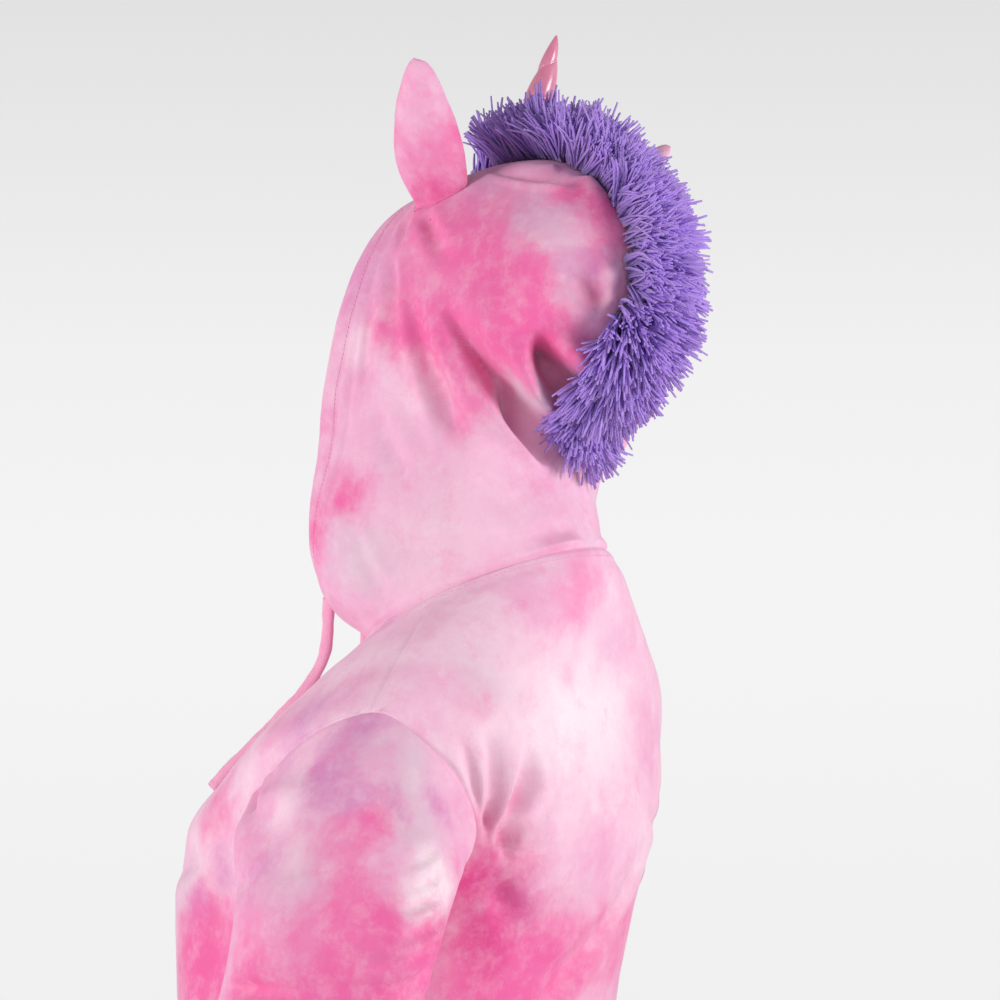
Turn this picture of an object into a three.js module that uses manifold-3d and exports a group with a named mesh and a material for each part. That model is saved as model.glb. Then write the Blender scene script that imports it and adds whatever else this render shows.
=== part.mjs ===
// Cosplay hoodie with a yarn mane, two ears and a horn, as it hangs when worn.
// Millimetres. +X is the wearer's left, +Y the back, +Z up.
// The origin is the middle of the neck seam.
import * as THREE from 'three';
import { mergeVertices } from 'three/addons/utils/BufferGeometryUtils.js';
import Module from 'manifold-3d';

const wasm = await Module();
wasm.setup();

// ---------------------------------------------------------------- driving dimensions

const CLOTH = 2.2;              // fleece wall
const BAND = 3.2;               // wall of the doubled cuffs and hem band
const SEAM = 0.4;               // gap between two pieces at a seam
const ARMHOLE_SEAM = 0.8;       // gap at the armhole, where both edges curve
const SIDE_SEAM = 0.8;          // gap between front and back at the sides and shoulders
const NECK_SEAM = 0.6;          // gap at the neck seam, straight up
const NECK_TILT = 0.41;         // rise of the neck seam for each mm towards the back
const HEM_BAND = 62;            // depth of the hem band
const CUFF = 60;                // depth of a cuff
const CLEARANCE_LIFT = 0.5;     // gap under what is sewn on the hood
const CLEARANCE_DEPTHS = [6, 14, 24];
const BAND_INSET = 2.5;         // a band is this much tighter than the cloth it ends

const BODY_COLUMNS = 16;        // cells across the front and the back
const BODY_ROWS = 6;            // cells from hem to armpit
const ARMHOLE_ROWS = 10;        // cells up the armhole
const YOKE_ROWS = 5;            // cells from shoulder tip to neck seam
const SLEEVE_HEAD_ROWS = 6;     // cells from armhole to where the sleeve is a plain tube
const SLEEVE_ROWS = 10;         // cells from there to the cuff
const HOOD_ROWS = 20;           // cells from neck seam to crown
const HOOD_COLUMNS = 18;        // cells from face edge to centre seam
const BAND_CELLS = 24;          // cells round a cuff
const HEM_CELLS = 36;           // cells round the hem band

// Rings of the body from hem to neck seam. w numbers them for the columns of cloth, z is the
// height at y = 0, tilt is dz/dy, halfWidth is reached at sideY.
const BODY = columns(
  ['w', 'z', 'tilt', 'halfWidth', 'sideY', 'frontY', 'backY', 'square'],
  [
    [0.00, -640, 0.00, 184, -65, -212, 80, 2.3],
    [0.15, -540, 0.00, 180, -66, -222, 74, 2.3],
    [0.32, -420, 0.00, 172, -68, -230, 69, 2.3],
    [0.48, -310, 0.00, 165, -64, -236, 76, 2.3],
    [0.60, -235, 0.00, 162, -50, -242, 92, 2.3],
    [0.70, -175, 0.02, 166, -26, -230, 107, 2.3],
    [0.78, -126, 0.06, 180, -2, -194, 104, 2.2],
    [0.85, -84, 0.12, 190, 14, -154, 96, 2.1],
    [0.92, -42, 0.22, 150, 16, -119, 96, 2.0],
    [0.97, -15, 0.34, 110, 12, -98, 95, 2.0],
    [1.00, 0, NECK_TILT, 84, 5, -88, 88, 2.0],
  ],
);

// The armhole is an ellipse in the cloth: from ring to ring, and round the body by an angle.
const ARMHOLE = {
  lowest: 0.63,
  highest: 0.86,
  back: THREE.MathUtils.degToRad(40),
  front: THREE.MathUtils.degToRad(26),
  skew: 0.2,                    // the back edge is fuller towards its lower end
};

// Rings of the sleeves: s runs along the arm, x (outwards) y z is the middle of the ring,
// side and deep are its half widths. The right arm is held further forward.
const ARM_NAMES = ['s', 'x', 'y', 'z', 'side', 'deep'];
const ARMS = {
  left: columns(ARM_NAMES, [
    [0.12, 205, 24, -165, 60, 88],
    [0.25, 226, 16, -212, 58, 75],
    [0.45, 240, -4, -300, 56, 68],
    [0.60, 246, -45, -375, 54, 62],
    [0.80, 240, -114, -465, 48, 54],
    [1.00, 228, -190, -550, 42, 46],
  ]),
  right: columns(ARM_NAMES, [
    [0.12, 208, -4, -158, 60, 76],
    [0.25, 234, -46, -198, 58, 66],
    [0.45, 244, -122, -256, 56, 60],
    [0.60, 240, -182, -304, 54, 57],
    [0.80, 212, -268, -358, 48, 52],
    [1.00, 168, -346, -406, 42, 46],
  ]),
};
// How far each sleeve turns forward as it leaves the armhole.
const LEAVE_FORWARD = { left: 0, right: -0.55 };
const SLEEVE_HEAD = 0.28;       // s where the sleeve has become a plain tube
// The sleeve head's pull where it leaves the armhole and where it meets the tube. The top of the
// armhole, over the shoulder, reaches and drops more than the armpit.
const HEAD_PULL = { reach: 38, topReach: 62, drop: -0.15, topDrop: -0.75, arrive: 0.45 };

// Rows of the left half of the hood, in the head's own frame. v counts them from neck seam to
// crown. Each row runs from the face edge (rim) round the side to the centre seam.
const HOOD = columns(
  ['v', 'rimX', 'rimY', 'rimZ', 'sideX', 'sideY', 'sideZ', 'seamY', 'seamZ'],
  [
    [0, 2, -88, neckSeam(-88), 84, 5, neckSeam(5), 88, neckSeam(88)],
    [1, 16, -115, -14, 85, 8, 24, 78, 58],
    [2, 50, -127, 22, 85, 5, 62, 62, 96],
    [3, 73, -128, 70, 88, 0, 110, 58, 136],
    [4, 82, -130, 130, 96, -5, 165, 80, 176],
    [5, 82, -131, 190, 97, -10, 215, 94, 218],
    [6, 68, -129, 240, 86, -15, 265, 92, 258],
    [7, 42, -126, 272, 55, -25, 307, 80, 285],
    [8, 0, -124, 288, 0, -35, 328, 62, 300],
  ],
);
const HOOD_TOP = 8;
const FREE_ENDS = ['rimX', 'sideX'];   // columns that still slope where both halves meet
// How square the rows are: round at the neck seam, like the body there, squarer from v reached on.
const HOOD_SQUARE = { neck: 2, front: 2.6, back: 2.2, reached: 1.5 };

// The head looks a little to its right, up and over; the neck seam stays.
const TURN = {
  yaw: THREE.MathUtils.degToRad(-13),
  pitch: THREE.MathUtils.degToRad(-8),
  roll: THREE.MathUtils.degToRad(-10),
  over: 140,                    // height above the neck seam where the turn is whole
};

// The largest folds. Each runs along a bend through three points; a ridge has a negative depth.
// Hood folds are in the head's own frame, on the left half, and the right half mirrors them.
const FOLD_NAMES = ['x1', 'y1', 'z1', 'x2', 'y2', 'z2', 'x3', 'y3', 'z3', 'depth', 'width'];
const HOOD_FOLDS = named(FOLD_NAMES, [
  [98, -20, 205, 90, 20, 150, 40, 54, 112, 10, 15],
  [97, -53, 205, 93, -7, 144, 76, 31, 100, 5, 13],
  [55, 72, 256, 58, 78, 227, 38, 84, 196, 8, 17],
  [60, -26, 303, 60, 7, 301, 50, 32, 299, 5, 11],
  [30, 35, 310, 42, 42, 304, 49, 48, 293, -5, 11],
  [58, 61, 163, 41, 55, 139, 12, 58, 112, 9, 13],
  [86, -70, 90, 90, -10, 52, 70, 45, 50, 3, 18],
]);
const BODY_FOLDS = named(FOLD_NAMES, [
  [128, 72, -172, 131, 80, -124, 123, 86, -79, 6, 11],
  [121, 74, -178, 100, 94, -143, 88, 98, -98, 5, 11],
  [117, 76, -184, 84, 96, -168, 40, 108, -148, 4, 12],
  [-35, 92, -228, 12, 86, -268, 55, 75, -300, 6, 16],
  [-128, 72, -172, -130, 82, -128, -120, 87, -86, 5, 11],
  [-121, 74, -178, -98, 93, -150, -80, 99, -106, 5, 12],
  [120, -150, -190, 96, -196, -180, 60, -226, -190, 5, 14],
  [-120, -150, -190, -92, -198, -176, -54, -228, -182, 5, 14],
  [110, 60, -420, 20, 72, -450, -80, 66, -420, 6, 20],
  [-130, -170, -470, -20, -226, -500, 100, -200, -470, 6, 22],
]);
const SLEEVE_FOLDS = {
  left: named(FOLD_NAMES, [
    [192, 92, -186, 238, 88, -186, 266, 58, -192, 4, 11],
    [196, 88, -218, 246, 86, -216, 274, 50, -216, 4, 11],
    [200, -58, -176, 224, -66, -170, 246, -58, -164, 4, 12],
    [190, -60, -350, 232, -104, -372, 278, -80, -360, 6, 14],
    [192, -80, -384, 236, -130, -404, 276, -110, -392, 5, 14],
  ]),
  right: named(FOLD_NAMES, [
    [170, 50, -190, 214, 36, -196, 252, 2, -190, 4, 11],
    [188, -60, -128, 218, -70, -136, 250, -70, -150, 4, 12],
    [200, -150, -214, 240, -170, -240, 262, -168, -280, 5, 14],
    [178, -196, -236, 222, -220, -262, 244, -214, -306, 5, 14],
  ]),
};

const EAR = { width: 60, thick: 15, dish: 4, rows: 9, sides: 12 };
const EARS = [
  { name: 'ear_left', base: [65, -78, 265], tip: [134, -59, 368], across: [0.35, -0.93, 0.12] },
  { name: 'ear_right', base: [-65, -78, 265], tip: [-149, -54, 378], across: [-0.35, -0.93, 0.12] },
];

// Both are turned with the head. The horn is wound with a groove of so many turns.
const HORN = {
  base: [0, -62, 316], tip: [0, -57, 421],
  radius: 19, taper: 0.82, tipRadius: 1.6,
  turns: 4, groove: 0.13, sides: 12, rows: 20,
};

// Yarn is rooted in a strip along the centre seam: the forelock before the horn, the mane behind it.
// start and end are shares of the seam's length from face edge to nape.
const YARN = {
  napeZ: 124, stripHalf: 9, stripThick: 5, stripSunk: 4,
  footHeight: 3.4, radius: 2.6, waist: 0.55, waistRadius: 2.34, tipRadius: 0.9,
};
// How unevenly the locks lean, in degrees, drift along the seam and grow, up to these.
const UNEVEN = { lean: 8, drift: 0.16, shortest: 0.9, longer: 0.14 };
const TUFTS = {
  forelock: { start: 0.02, end: 0.1, stations: 4, strips: 2 },
  mane: { start: 0.2, end: 1, stations: 25, strips: 16 },
};
// Length of the yarn and how much it droops, by its place along the seam.
const YARN_FALL = columns(['place', 'length', 'droop'], [
  [0.00, 50, 0.0], [0.25, 54, 0.0], [0.50, 48, 0.1], [0.75, 42, 0.35], [1.00, 46, 0.9],
]);
const YARN_FAN = [
  { across: -6, lean: -66 },
  { across: 0, lean: 4 },
  { across: 6, lean: 66 },
];

// The drawstrings, each from its eyelet at the foot of the hood's face edge to its bare end.
const CORD = { diameter: 7.5, sides: 10, steps: 16 };
const CORD_ROUTES = {
  left: [
    [26, -123.4, -3], [26, -124, -15], [27, -124, -30], [30, -125, -46], [35, -130, -61],
    [41, -138, -75], [47, -149.5, -89], [53, -161.5, -103], [59, -174, -117], [65, -187, -131],
    [71, -199, -146],
  ],
  right: [
    [-26, -121.5, -3], [-26, -122.7, -15], [-27, -124, -30], [-30, -126, -46], [-34, -131, -61],
    [-39, -139, -75], [-44, -151, -89], [-49, -163.5, -103], [-53, -177, -117], [-57, -190, -131],
    [-60, -203, -146],
  ],
};

// ---------------------------------------------------------------- small helpers

function columns(names, rows) {
  return Object.fromEntries(names.map((name, k) => [name, rows.map((row) => row[k])]));
}

function named(names, rows) {
  return rows.map((row) => Object.fromEntries(names.map((name, k) => [name, row[k]])));
}

function neckSeam(y) {
  return NECK_TILT * y + NECK_SEAM;
}

function vec([x, y, z]) {
  return new THREE.Vector3(x, y, z);
}

function range(count) {
  return Array.from({ length: count + 1 }, (_, k) => k);
}

function smooth(t) {
  const u = THREE.MathUtils.clamp(t, 0, 1);
  return u * u * (3 - 2 * u);
}

// Repeatable number from 0 to 1.
function scatter(seed) {
  const value = Math.sin(seed * 127.1 + 11.7) * 43758.5453;
  return value - Math.floor(value);
}

// Cubic through a table column; ends 'even' makes it level at its last row.
function curve(keys, values, t, ends = 'free') {
  const last = keys.length - 1;
  const slope = (k) => {
    if (k === last && ends === 'even') return 0;
    const a = Math.max(0, k - 1);
    const b = Math.min(last, k + 1);
    return (values[b] - values[a]) / (keys[b] - keys[a]);
  };
  let k = 0;
  while (k < last - 1 && t >= keys[k + 1]) k += 1;
  const h = keys[k + 1] - keys[k];
  const s = (t - keys[k]) / h;
  return (1 + 2 * s) * (1 - s) ** 2 * values[k] + s * (1 - s) ** 2 * h * slope(k)
    + s * s * (3 - 2 * s) * values[k + 1] + s * s * (s - 1) * h * slope(k + 1);
}

function power(value, exponent) {
  return Math.sign(value) * Math.abs(value) ** exponent;
}

// ---------------------------------------------------------------- folds

// Point of a fold's bend, which goes through all three of its points.
function bend(fold, t) {
  const a = (1 - t) * (1 - 2 * t);
  const b = 4 * t * (1 - t);
  const c = t * (2 * t - 1);
  return new THREE.Vector3(
    a * fold.x1 + b * fold.x2 + c * fold.x3,
    a * fold.y1 + b * fold.y2 + c * fold.y3,
    a * fold.z1 + b * fold.z2 + c * fold.z3,
  );
}

// How far a point of the cloth moves in (negative) or out, under the folds of its table.
function foldShift(point, folds) {
  const steps = 24;
  const run = 0.3;              // share of the fold's length over which each end fades
  const least = 0.25;           // share of the depth left at its very ends
  let shift = 0;
  for (const fold of folds) {
    let near = Infinity;
    let at = 0;
    for (const k of range(steps)) {
      const distance = point.distanceTo(bend(fold, k / steps));
      if (distance < near) {
        near = distance;
        at = k / steps;
      }
    }
    const fade = smooth(at / run) * smooth((1 - at) / run) * (1 - least) + least;
    const trough = Math.exp(-((near / fold.width) ** 2));
    const shoulder = Math.exp(-(((near - 2 * fold.width) / fold.width) ** 2));
    shift -= fold.depth * fade * (trough - 0.4 * shoulder);
  }
  return shift;
}

// ---------------------------------------------------------------- grids of points

// Unit normals of a grid[row][column], from its neighbours. ring joins the last column to the first.
function gridNormals(grid, ring) {
  const rows = grid.length;
  const count = grid[0].length;
  return grid.map((row, i) => row.map((_, j) => {
    const up = grid[Math.min(i + 1, rows - 1)][j];
    const down = grid[Math.max(i - 1, 0)][j];
    const right = ring ? row[(j + 1) % count] : row[Math.min(j + 1, count - 1)];
    const left = ring ? row[(j + count - 1) % count] : row[Math.max(j - 1, 0)];
    return right.clone().sub(left).cross(up.clone().sub(down)).normalize();
  }));
}

// Cloth: the grid's points outside, moved in along its normals by the wall on the other face.
// settle may correct the normals on the edges before they are used.
function clothWall(grid, { wall = CLOTH, ring = false, folds = [], settle = () => {}, flip = false }) {
  const rows = grid.length;
  const count = grid[0].length;
  const normals = gridNormals(grid, ring);
  if (flip) normals.forEach((row) => row.forEach((normal) => normal.negate()));
  const inside = (i, j) => {
    const columnsIn = ring ? Infinity : Math.min(j, count - 1 - j);
    return Math.min(1, Math.min(i, rows - 1 - i, columnsIn) / 2);
  };
  const outer = grid.map((row, i) => row.map((point, j) => (
    point.clone().addScaledVector(normals[i][j], inside(i, j) * foldShift(point, folds))
  )));
  const directions = gridNormals(outer, ring);
  if (flip) directions.forEach((row) => row.forEach((normal) => normal.negate()));
  directions.forEach((row, i) => row.forEach((normal, j) => settle(normal, i, j)));
  const inner = outer.map((row, i) => row.map((point, j) => (
    point.clone().addScaledVector(directions[i][j], -wall)
  )));
  return { outer, inner };
}

// Closed solid between two grids.
function solidBetween({ outer, inner }, ring = false) {
  const rows = outer.length;
  const count = outer[0].length;
  const positions = [];
  for (const grid of [outer, inner]) {
    grid.forEach((row) => row.forEach((point) => positions.push(point.x, point.y, point.z)));
  }
  const at = (face, i, j) => face * rows * count + i * count + (j % count);
  const index = [];
  const quad = (a, b, c, d) => index.push(a, b, c, a, c, d);
  const cells = ring ? count : count - 1;
  for (let i = 0; i < rows - 1; i += 1) {
    for (let j = 0; j < cells; j += 1) {
      quad(at(0, i, j), at(0, i, j + 1), at(0, i + 1, j + 1), at(0, i + 1, j));
      quad(at(1, i, j), at(1, i + 1, j), at(1, i + 1, j + 1), at(1, i, j + 1));
    }
  }
  for (let j = 0; j < cells; j += 1) {
    quad(at(1, 0, j), at(1, 0, j + 1), at(0, 0, j + 1), at(0, 0, j));
    quad(at(0, rows - 1, j), at(0, rows - 1, j + 1), at(1, rows - 1, j + 1), at(1, rows - 1, j));
  }
  if (!ring) {
    for (let i = 0; i < rows - 1; i += 1) {
      quad(at(0, i, 0), at(0, i + 1, 0), at(1, i + 1, 0), at(1, i, 0));
      quad(at(1, i, count - 1), at(1, i + 1, count - 1), at(0, i + 1, count - 1), at(0, i, count - 1));
    }
  }
  return outwards(indexed(positions, index));
}

// Closed solid through rings of points, with a flat cap on each end.
function loft(rings) {
  const count = rings[0].length;
  const positions = [];
  rings.forEach((ring) => ring.forEach((point) => positions.push(point.x, point.y, point.z)));
  const index = [];
  for (let i = 0; i < rings.length - 1; i += 1) {
    for (let j = 0; j < count; j += 1) {
      const a = i * count + j;
      const b = i * count + ((j + 1) % count);
      index.push(a, b, b + count, a, b + count, a + count);
    }
  }
  const top = (rings.length - 1) * count;
  for (let j = 1; j < count - 1; j += 1) {
    index.push(0, j + 1, j);
    index.push(top, top + j, top + j + 1);
  }
  return outwards(indexed(positions, index));
}

function indexed(positions, index) {
  const geometry = new THREE.BufferGeometry();
  geometry.setAttribute('position', new THREE.Float32BufferAttribute(positions, 3));
  geometry.setIndex(index);
  return geometry;
}

// Turns every face round if the solid's volume comes out negative.
function outwards(geometry) {
  const position = geometry.getAttribute('position');
  const index = geometry.getIndex();
  const corner = (k) => new THREE.Vector3().fromBufferAttribute(position, index.getX(k));
  let volume = 0;
  for (let k = 0; k < index.count; k += 3) {
    volume += corner(k).dot(corner(k + 1).cross(corner(k + 2)));
  }
  if (volume < 0) {
    for (let k = 0; k < index.count; k += 3) {
      const swap = index.getX(k);
      index.setX(k, index.getX(k + 1));
      index.setX(k + 1, swap);
    }
  }
  return geometry;
}

// ---------------------------------------------------------------- solids for cuts and joins

function toSolid(geometry) {
  const bare = geometry.clone();
  for (const name of ['normal', 'uv']) {
    if (bare.getAttribute(name)) bare.deleteAttribute(name);
  }
  const merged = mergeVertices(bare, 1e-4);
  return new wasm.Manifold(new wasm.Mesh({
    numProp: 3,
    vertProperties: Float32Array.from(merged.getAttribute('position').array),
    triVerts: Uint32Array.from(merged.getIndex().array),
  }));
}

function toGeometry(solid) {
  const mesh = solid.getMesh();
  return indexed(Array.from(mesh.vertProperties), Array.from(mesh.triVerts));
}

function largestPiece(solid) {
  const pieces = solid.decompose();
  return pieces.reduce((best, piece) => (piece.volume() > best.volume() ? piece : best));
}

// ---------------------------------------------------------------- body: front, back, hem band

function bodyPoint(angle, w) {
  const at = (name) => curve(BODY.w, BODY[name], w);
  const exponent = 2 / at('square');
  const sideY = at('sideY');
  const reach = Math.sin(angle) > 0 ? at('backY') - sideY : sideY - at('frontY');
  const y = sideY + reach * power(Math.sin(angle), exponent);
  return new THREE.Vector3(at('halfWidth') * power(Math.cos(angle), exponent), y, at('z') + at('tilt') * y);
}

// Place in the armhole's height, 0 at its lowest and 1 at its highest, for an angle round it.
function armholeRing(turn) {
  return ARMHOLE.lowest + (ARMHOLE.highest - ARMHOLE.lowest) * (1 + Math.cos(turn)) / 2;
}

// Angle from the side seam to the armhole's edge at a turn round it.
function armholeCut(turn, isBack) {
  const swing = Math.abs(Math.sin(turn));
  return isBack ? ARMHOLE.back * swing * (1 - ARMHOLE.skew * Math.cos(turn)) : ARMHOLE.front * swing;
}

function bodyRows() {
  const below = range(BODY_ROWS - 1).map((k) => ARMHOLE.lowest * k / BODY_ROWS);
  const beside = range(ARMHOLE_ROWS).map((k) => armholeRing(Math.PI * (1 - k / ARMHOLE_ROWS)));
  const above = range(YOKE_ROWS).slice(1)
    .map((k) => ARMHOLE.highest + (1 - ARMHOLE.highest) * k / YOKE_ROWS);
  return [...below, ...beside, ...above];
}

function bodyPanel(name) {
  const isBack = name === 'back';
  const start = isBack ? 0 : Math.PI;
  const rows = bodyRows();
  const cuts = rows.map((w) => {
    const place = (w - ARMHOLE.lowest) / (ARMHOLE.highest - ARMHOLE.lowest);
    return armholeCut(Math.acos(THREE.MathUtils.clamp(2 * place - 1, -1, 1)), isBack);
  });
  const grid = rows.map((w, i) => {
    return range(BODY_COLUMNS).map((j) => {
      const angle = start + cuts[i] + (Math.PI - 2 * cuts[i]) * j / BODY_COLUMNS;
      const point = bodyPoint(angle, w);
      if (j === 0 || j === BODY_COLUMNS) point.y += isBack ? SIDE_SEAM / 2 : -SIDE_SEAM / 2;
      return point;
    });
  });
  const settle = (normal, i, j) => {
    if (i === rows.length - 1) flattenInto(normal, neckPlane());
    if (i === 0) flattenInto(normal, new THREE.Vector3(0, 0, 1));
    const onSeam = cuts[i] < 0.01 && (j === 0 || j === BODY_COLUMNS);
    if (onSeam) flattenInto(normal, new THREE.Vector3(0, 1, 0));
  };
  return solidBetween(clothWall(grid, { folds: BODY_FOLDS, settle }));
}

function neckPlane() {
  return new THREE.Vector3(0, -NECK_TILT, 1).normalize();
}

// Lays a direction into the plane with the given normal.
function flattenInto(direction, planeNormal) {
  direction.addScaledVector(planeNormal, -direction.dot(planeNormal)).normalize();
}

function hemBand() {
  const heights = [0, 0.5, 1].map((k) => bodyPoint(0, 0).z - SEAM - HEM_BAND * k);
  const grid = heights.map((z) => range(HEM_CELLS - 1).map((j) => {
    const point = bodyPoint(2 * Math.PI * j / HEM_CELLS, 0);
    const inset = BAND_INSET / Math.hypot(point.x, point.y);
    return new THREE.Vector3(point.x * (1 - inset), point.y * (1 - inset), z);
  }));
  const settle = (normal) => flattenInto(normal, new THREE.Vector3(0, 0, 1));
  return solidBetween(clothWall(grid, { wall: BAND, ring: true, settle, flip: true }), true);
}

// ---------------------------------------------------------------- sleeves and cuffs

function armholeLoop(turn) {
  const isBack = Math.sin(turn) > 0;
  return bodyPoint(armholeCut(turn, isBack) * (isBack ? 1 : -1), armholeRing(turn));
}

function sleeveAt(word, s) {
  const arm = ARMS[word];
  return new THREE.Vector3(curve(arm.s, arm.x, s), curve(arm.s, arm.y, s), curve(arm.s, arm.z, s));
}

// Ring of the plain tube: its point at an angle, and the way along the arm.
function sleeveRing(word, s, turn) {
  const arm = ARMS[word];
  const along = sleeveAt(word, s + 0.01).sub(sleeveAt(word, s - 0.01)).normalize();
  const back = new THREE.Vector3(0, 1, 0);
  flattenInto(back, along);
  const side = back.clone().cross(along).normalize();
  if (side.x < 0) side.negate();
  return sleeveAt(word, s)
    .addScaledVector(side, curve(arm.s, arm.side, s) * Math.cos(turn))
    .addScaledVector(back, curve(arm.s, arm.deep, s) * Math.sin(turn));
}

// Point of the sleeve head, t of the way from the armhole, which it leaves outwards, to the tube.
function sleeveHead(word, t, turn, middle) {
  const start = armholeLoop(turn);
  start.addScaledVector(middle.clone().sub(start).normalize(), ARMHOLE_SEAM);
  const end = sleeveRing(word, SLEEVE_HEAD, turn);
  const top = (1 + Math.cos(turn)) / 2;
  const drop = HEAD_PULL.drop + HEAD_PULL.topDrop * top;
  const leave = new THREE.Vector3(1, LEAVE_FORWARD[word] * (1 - top), drop)
    .normalize().multiplyScalar(HEAD_PULL.reach + HEAD_PULL.topReach * top ** 2);
  const step = 0.01;
  const arrive = sleeveRing(word, SLEEVE_HEAD + step, turn).sub(sleeveRing(word, SLEEVE_HEAD - step, turn))
    .multiplyScalar(HEAD_PULL.arrive * SLEEVE_HEAD / (2 * step));
  return new THREE.Vector3()
    .addScaledVector(start, (1 + 2 * t) * (1 - t) ** 2)
    .addScaledVector(leave, t * (1 - t) ** 2)
    .addScaledVector(end, t * t * (3 - 2 * t))
    .addScaledVector(arrive, t * t * (t - 1));
}

function sleeve(word, side) {
  const turns = range(2 * ARMHOLE_ROWS - 1).map((k) => Math.PI * k / ARMHOLE_ROWS);
  const middle = turns.reduce((sum, turn) => sum.add(armholeLoop(turn)), new THREE.Vector3())
    .divideScalar(turns.length);
  const head = range(SLEEVE_HEAD_ROWS).map((k) => turns.map((turn) => (
    sleeveHead(word, k / SLEEVE_HEAD_ROWS, turn, middle))));
  const arm = range(SLEEVE_ROWS).slice(1).map((k) => turns.map((turn) => (
    sleeveRing(word, SLEEVE_HEAD + (1 - SLEEVE_HEAD) * k / SLEEVE_ROWS, turn))));
  const grid = [...head, ...arm];
  const settle = (normal, i, j) => {
    if (i === 0) normal.copy(grid[0][j]).sub(middle).normalize();
    if (i === grid.length - 1) flattenInto(normal, wristAxis(word));
  };
  const wall = clothWall(grid, { ring: true, folds: SLEEVE_FOLDS[word], settle, flip: true });
  return solidBetween(mirrored(wall, side), true);
}

function wristAxis(word) {
  return sleeveAt(word, 1).sub(sleeveAt(word, 0.98)).normalize();
}

function cuff(word, side) {
  const axis = wristAxis(word);
  const centre = sleeveAt(word, 1);
  const grid = [0, 0.5, 1].map((k) => range(BAND_CELLS - 1).map((j) => {
    const point = sleeveRing(word, 1, 2 * Math.PI * j / BAND_CELLS);
    point.addScaledVector(point.clone().sub(centre).normalize(), -BAND_INSET);
    return point.addScaledVector(axis, SEAM + CUFF * k);
  }));
  const settle = (normal) => flattenInto(normal, axis);
  const wall = clothWall(grid, { wall: BAND, ring: true, settle, flip: true });
  return solidBetween(mirrored(wall, side), true);
}

function mirrored({ outer, inner }, side) {
  const turnOver = (grid) => grid.map((row) => row.map((point) => (
    new THREE.Vector3(point.x * side, point.y, point.z))));
  return { outer: turnOver(outer), inner: turnOver(inner) };
}

// ---------------------------------------------------------------- hood

// Moves a point of the head's own frame to where the turned head takes it.
function turnHead(point) {
  const share = smooth((point.z - NECK_TILT * point.y) / TURN.over);
  return point
    .applyAxisAngle(new THREE.Vector3(0, 1, 0), TURN.roll * share)
    .applyAxisAngle(new THREE.Vector3(1, 0, 0), TURN.pitch * share)
    .applyAxisAngle(new THREE.Vector3(0, 0, 1), TURN.yaw * share);
}

// Height on a hood row, by a parabola through its face edge, side and seam.
function rowHeight(y, a, b, c) {
  return a.z * (y - b.y) * (y - c.y) / ((a.y - b.y) * (a.y - c.y))
    + b.z * (y - a.y) * (y - c.y) / ((b.y - a.y) * (b.y - c.y))
    + c.z * (y - a.y) * (y - b.y) / ((c.y - a.y) * (c.y - b.y));
}

function hoodRow(v) {
  const at = (name) => curve(HOOD.v, HOOD[name], v, FREE_ENDS.includes(name) ? 'free' : 'even');
  const rim = { x: at('rimX'), y: at('rimY'), z: at('rimZ') };
  const side = { x: at('sideX'), y: at('sideY'), z: at('sideZ') };
  const seam = { y: at('seamY'), z: at('seamZ') };
  const settled = smooth(v / HOOD_SQUARE.reached);
  const frontPower = 2 / (HOOD_SQUARE.neck + (HOOD_SQUARE.front - HOOD_SQUARE.neck) * settled);
  const backPower = 2 / (HOOD_SQUARE.neck + (HOOD_SQUARE.back - HOOD_SQUARE.neck) * settled);
  const fine = 40;
  const front = range(fine).map((k) => {
    const angle = Math.PI / 2 * (1 - k / fine);
    const x = rim.x + (side.x - rim.x) * power(Math.cos(angle), frontPower);
    const y = side.y + (rim.y - side.y) * power(Math.sin(angle), frontPower);
    return new THREE.Vector3(x, y, rowHeight(y, rim, side, seam));
  });
  const back = range(fine).slice(1).map((k) => {
    const angle = Math.PI / 2 * k / fine;
    const x = side.x * power(Math.cos(angle), backPower);
    const y = side.y + (seam.y - side.y) * power(Math.sin(angle), backPower);
    return new THREE.Vector3(x, y, rowHeight(y, rim, side, seam));
  });
  return evenly([...front, ...back], HOOD_COLUMNS);
}

// The same line with its points an even distance apart.
function evenly(points, cells) {
  const lengths = [0];
  for (let k = 1; k < points.length; k += 1) {
    lengths.push(lengths[k - 1] + points[k].distanceTo(points[k - 1]));
  }
  const total = lengths[lengths.length - 1];
  return range(cells).map((j) => {
    const goal = total * j / cells;
    let k = 1;
    while (k < points.length - 1 && lengths[k] < goal) k += 1;
    const share = (goal - lengths[k - 1]) / (lengths[k] - lengths[k - 1]);
    return points[k - 1].clone().lerp(points[k], share);
  });
}

// Left half of the hood in the head's own frame, its wall from lift outside the cloth to deep inside.
function hoodWall({ lift = 0, deep = CLOTH, offset = SEAM / 2 }) {
  const grid = range(HOOD_ROWS).map((i) => {
    const row = hoodRow(HOOD_TOP * i / HOOD_ROWS);
    row.forEach((point) => { point.x += offset; });
    return row;
  });
  const settle = (normal, i, j) => {
    if (i === 0) flattenInto(normal, neckPlane());
    if (i === HOOD_ROWS || j === HOOD_COLUMNS) flattenInto(normal, new THREE.Vector3(1, 0, 0));
  };
  const { outer } = clothWall(grid, { folds: HOOD_FOLDS, settle });
  const directions = gridNormals(outer, false);
  directions.forEach((row, i) => row.forEach((normal, j) => settle(normal, i, j)));
  const moved = (amount) => outer.map((row, i) => row.map((point, j) => (
    point.clone().addScaledVector(directions[i][j], amount))));
  return { outer: moved(lift), inner: moved(-deep) };
}

function turned({ outer, inner }) {
  const turn = (grid) => grid.map((row) => row.map((point) => turnHead(point.clone())));
  return { outer: turn(outer), inner: turn(inner) };
}

function hoodHalf(side) {
  return solidBetween(turned(mirrored(hoodWall({}), side)));
}

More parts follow.
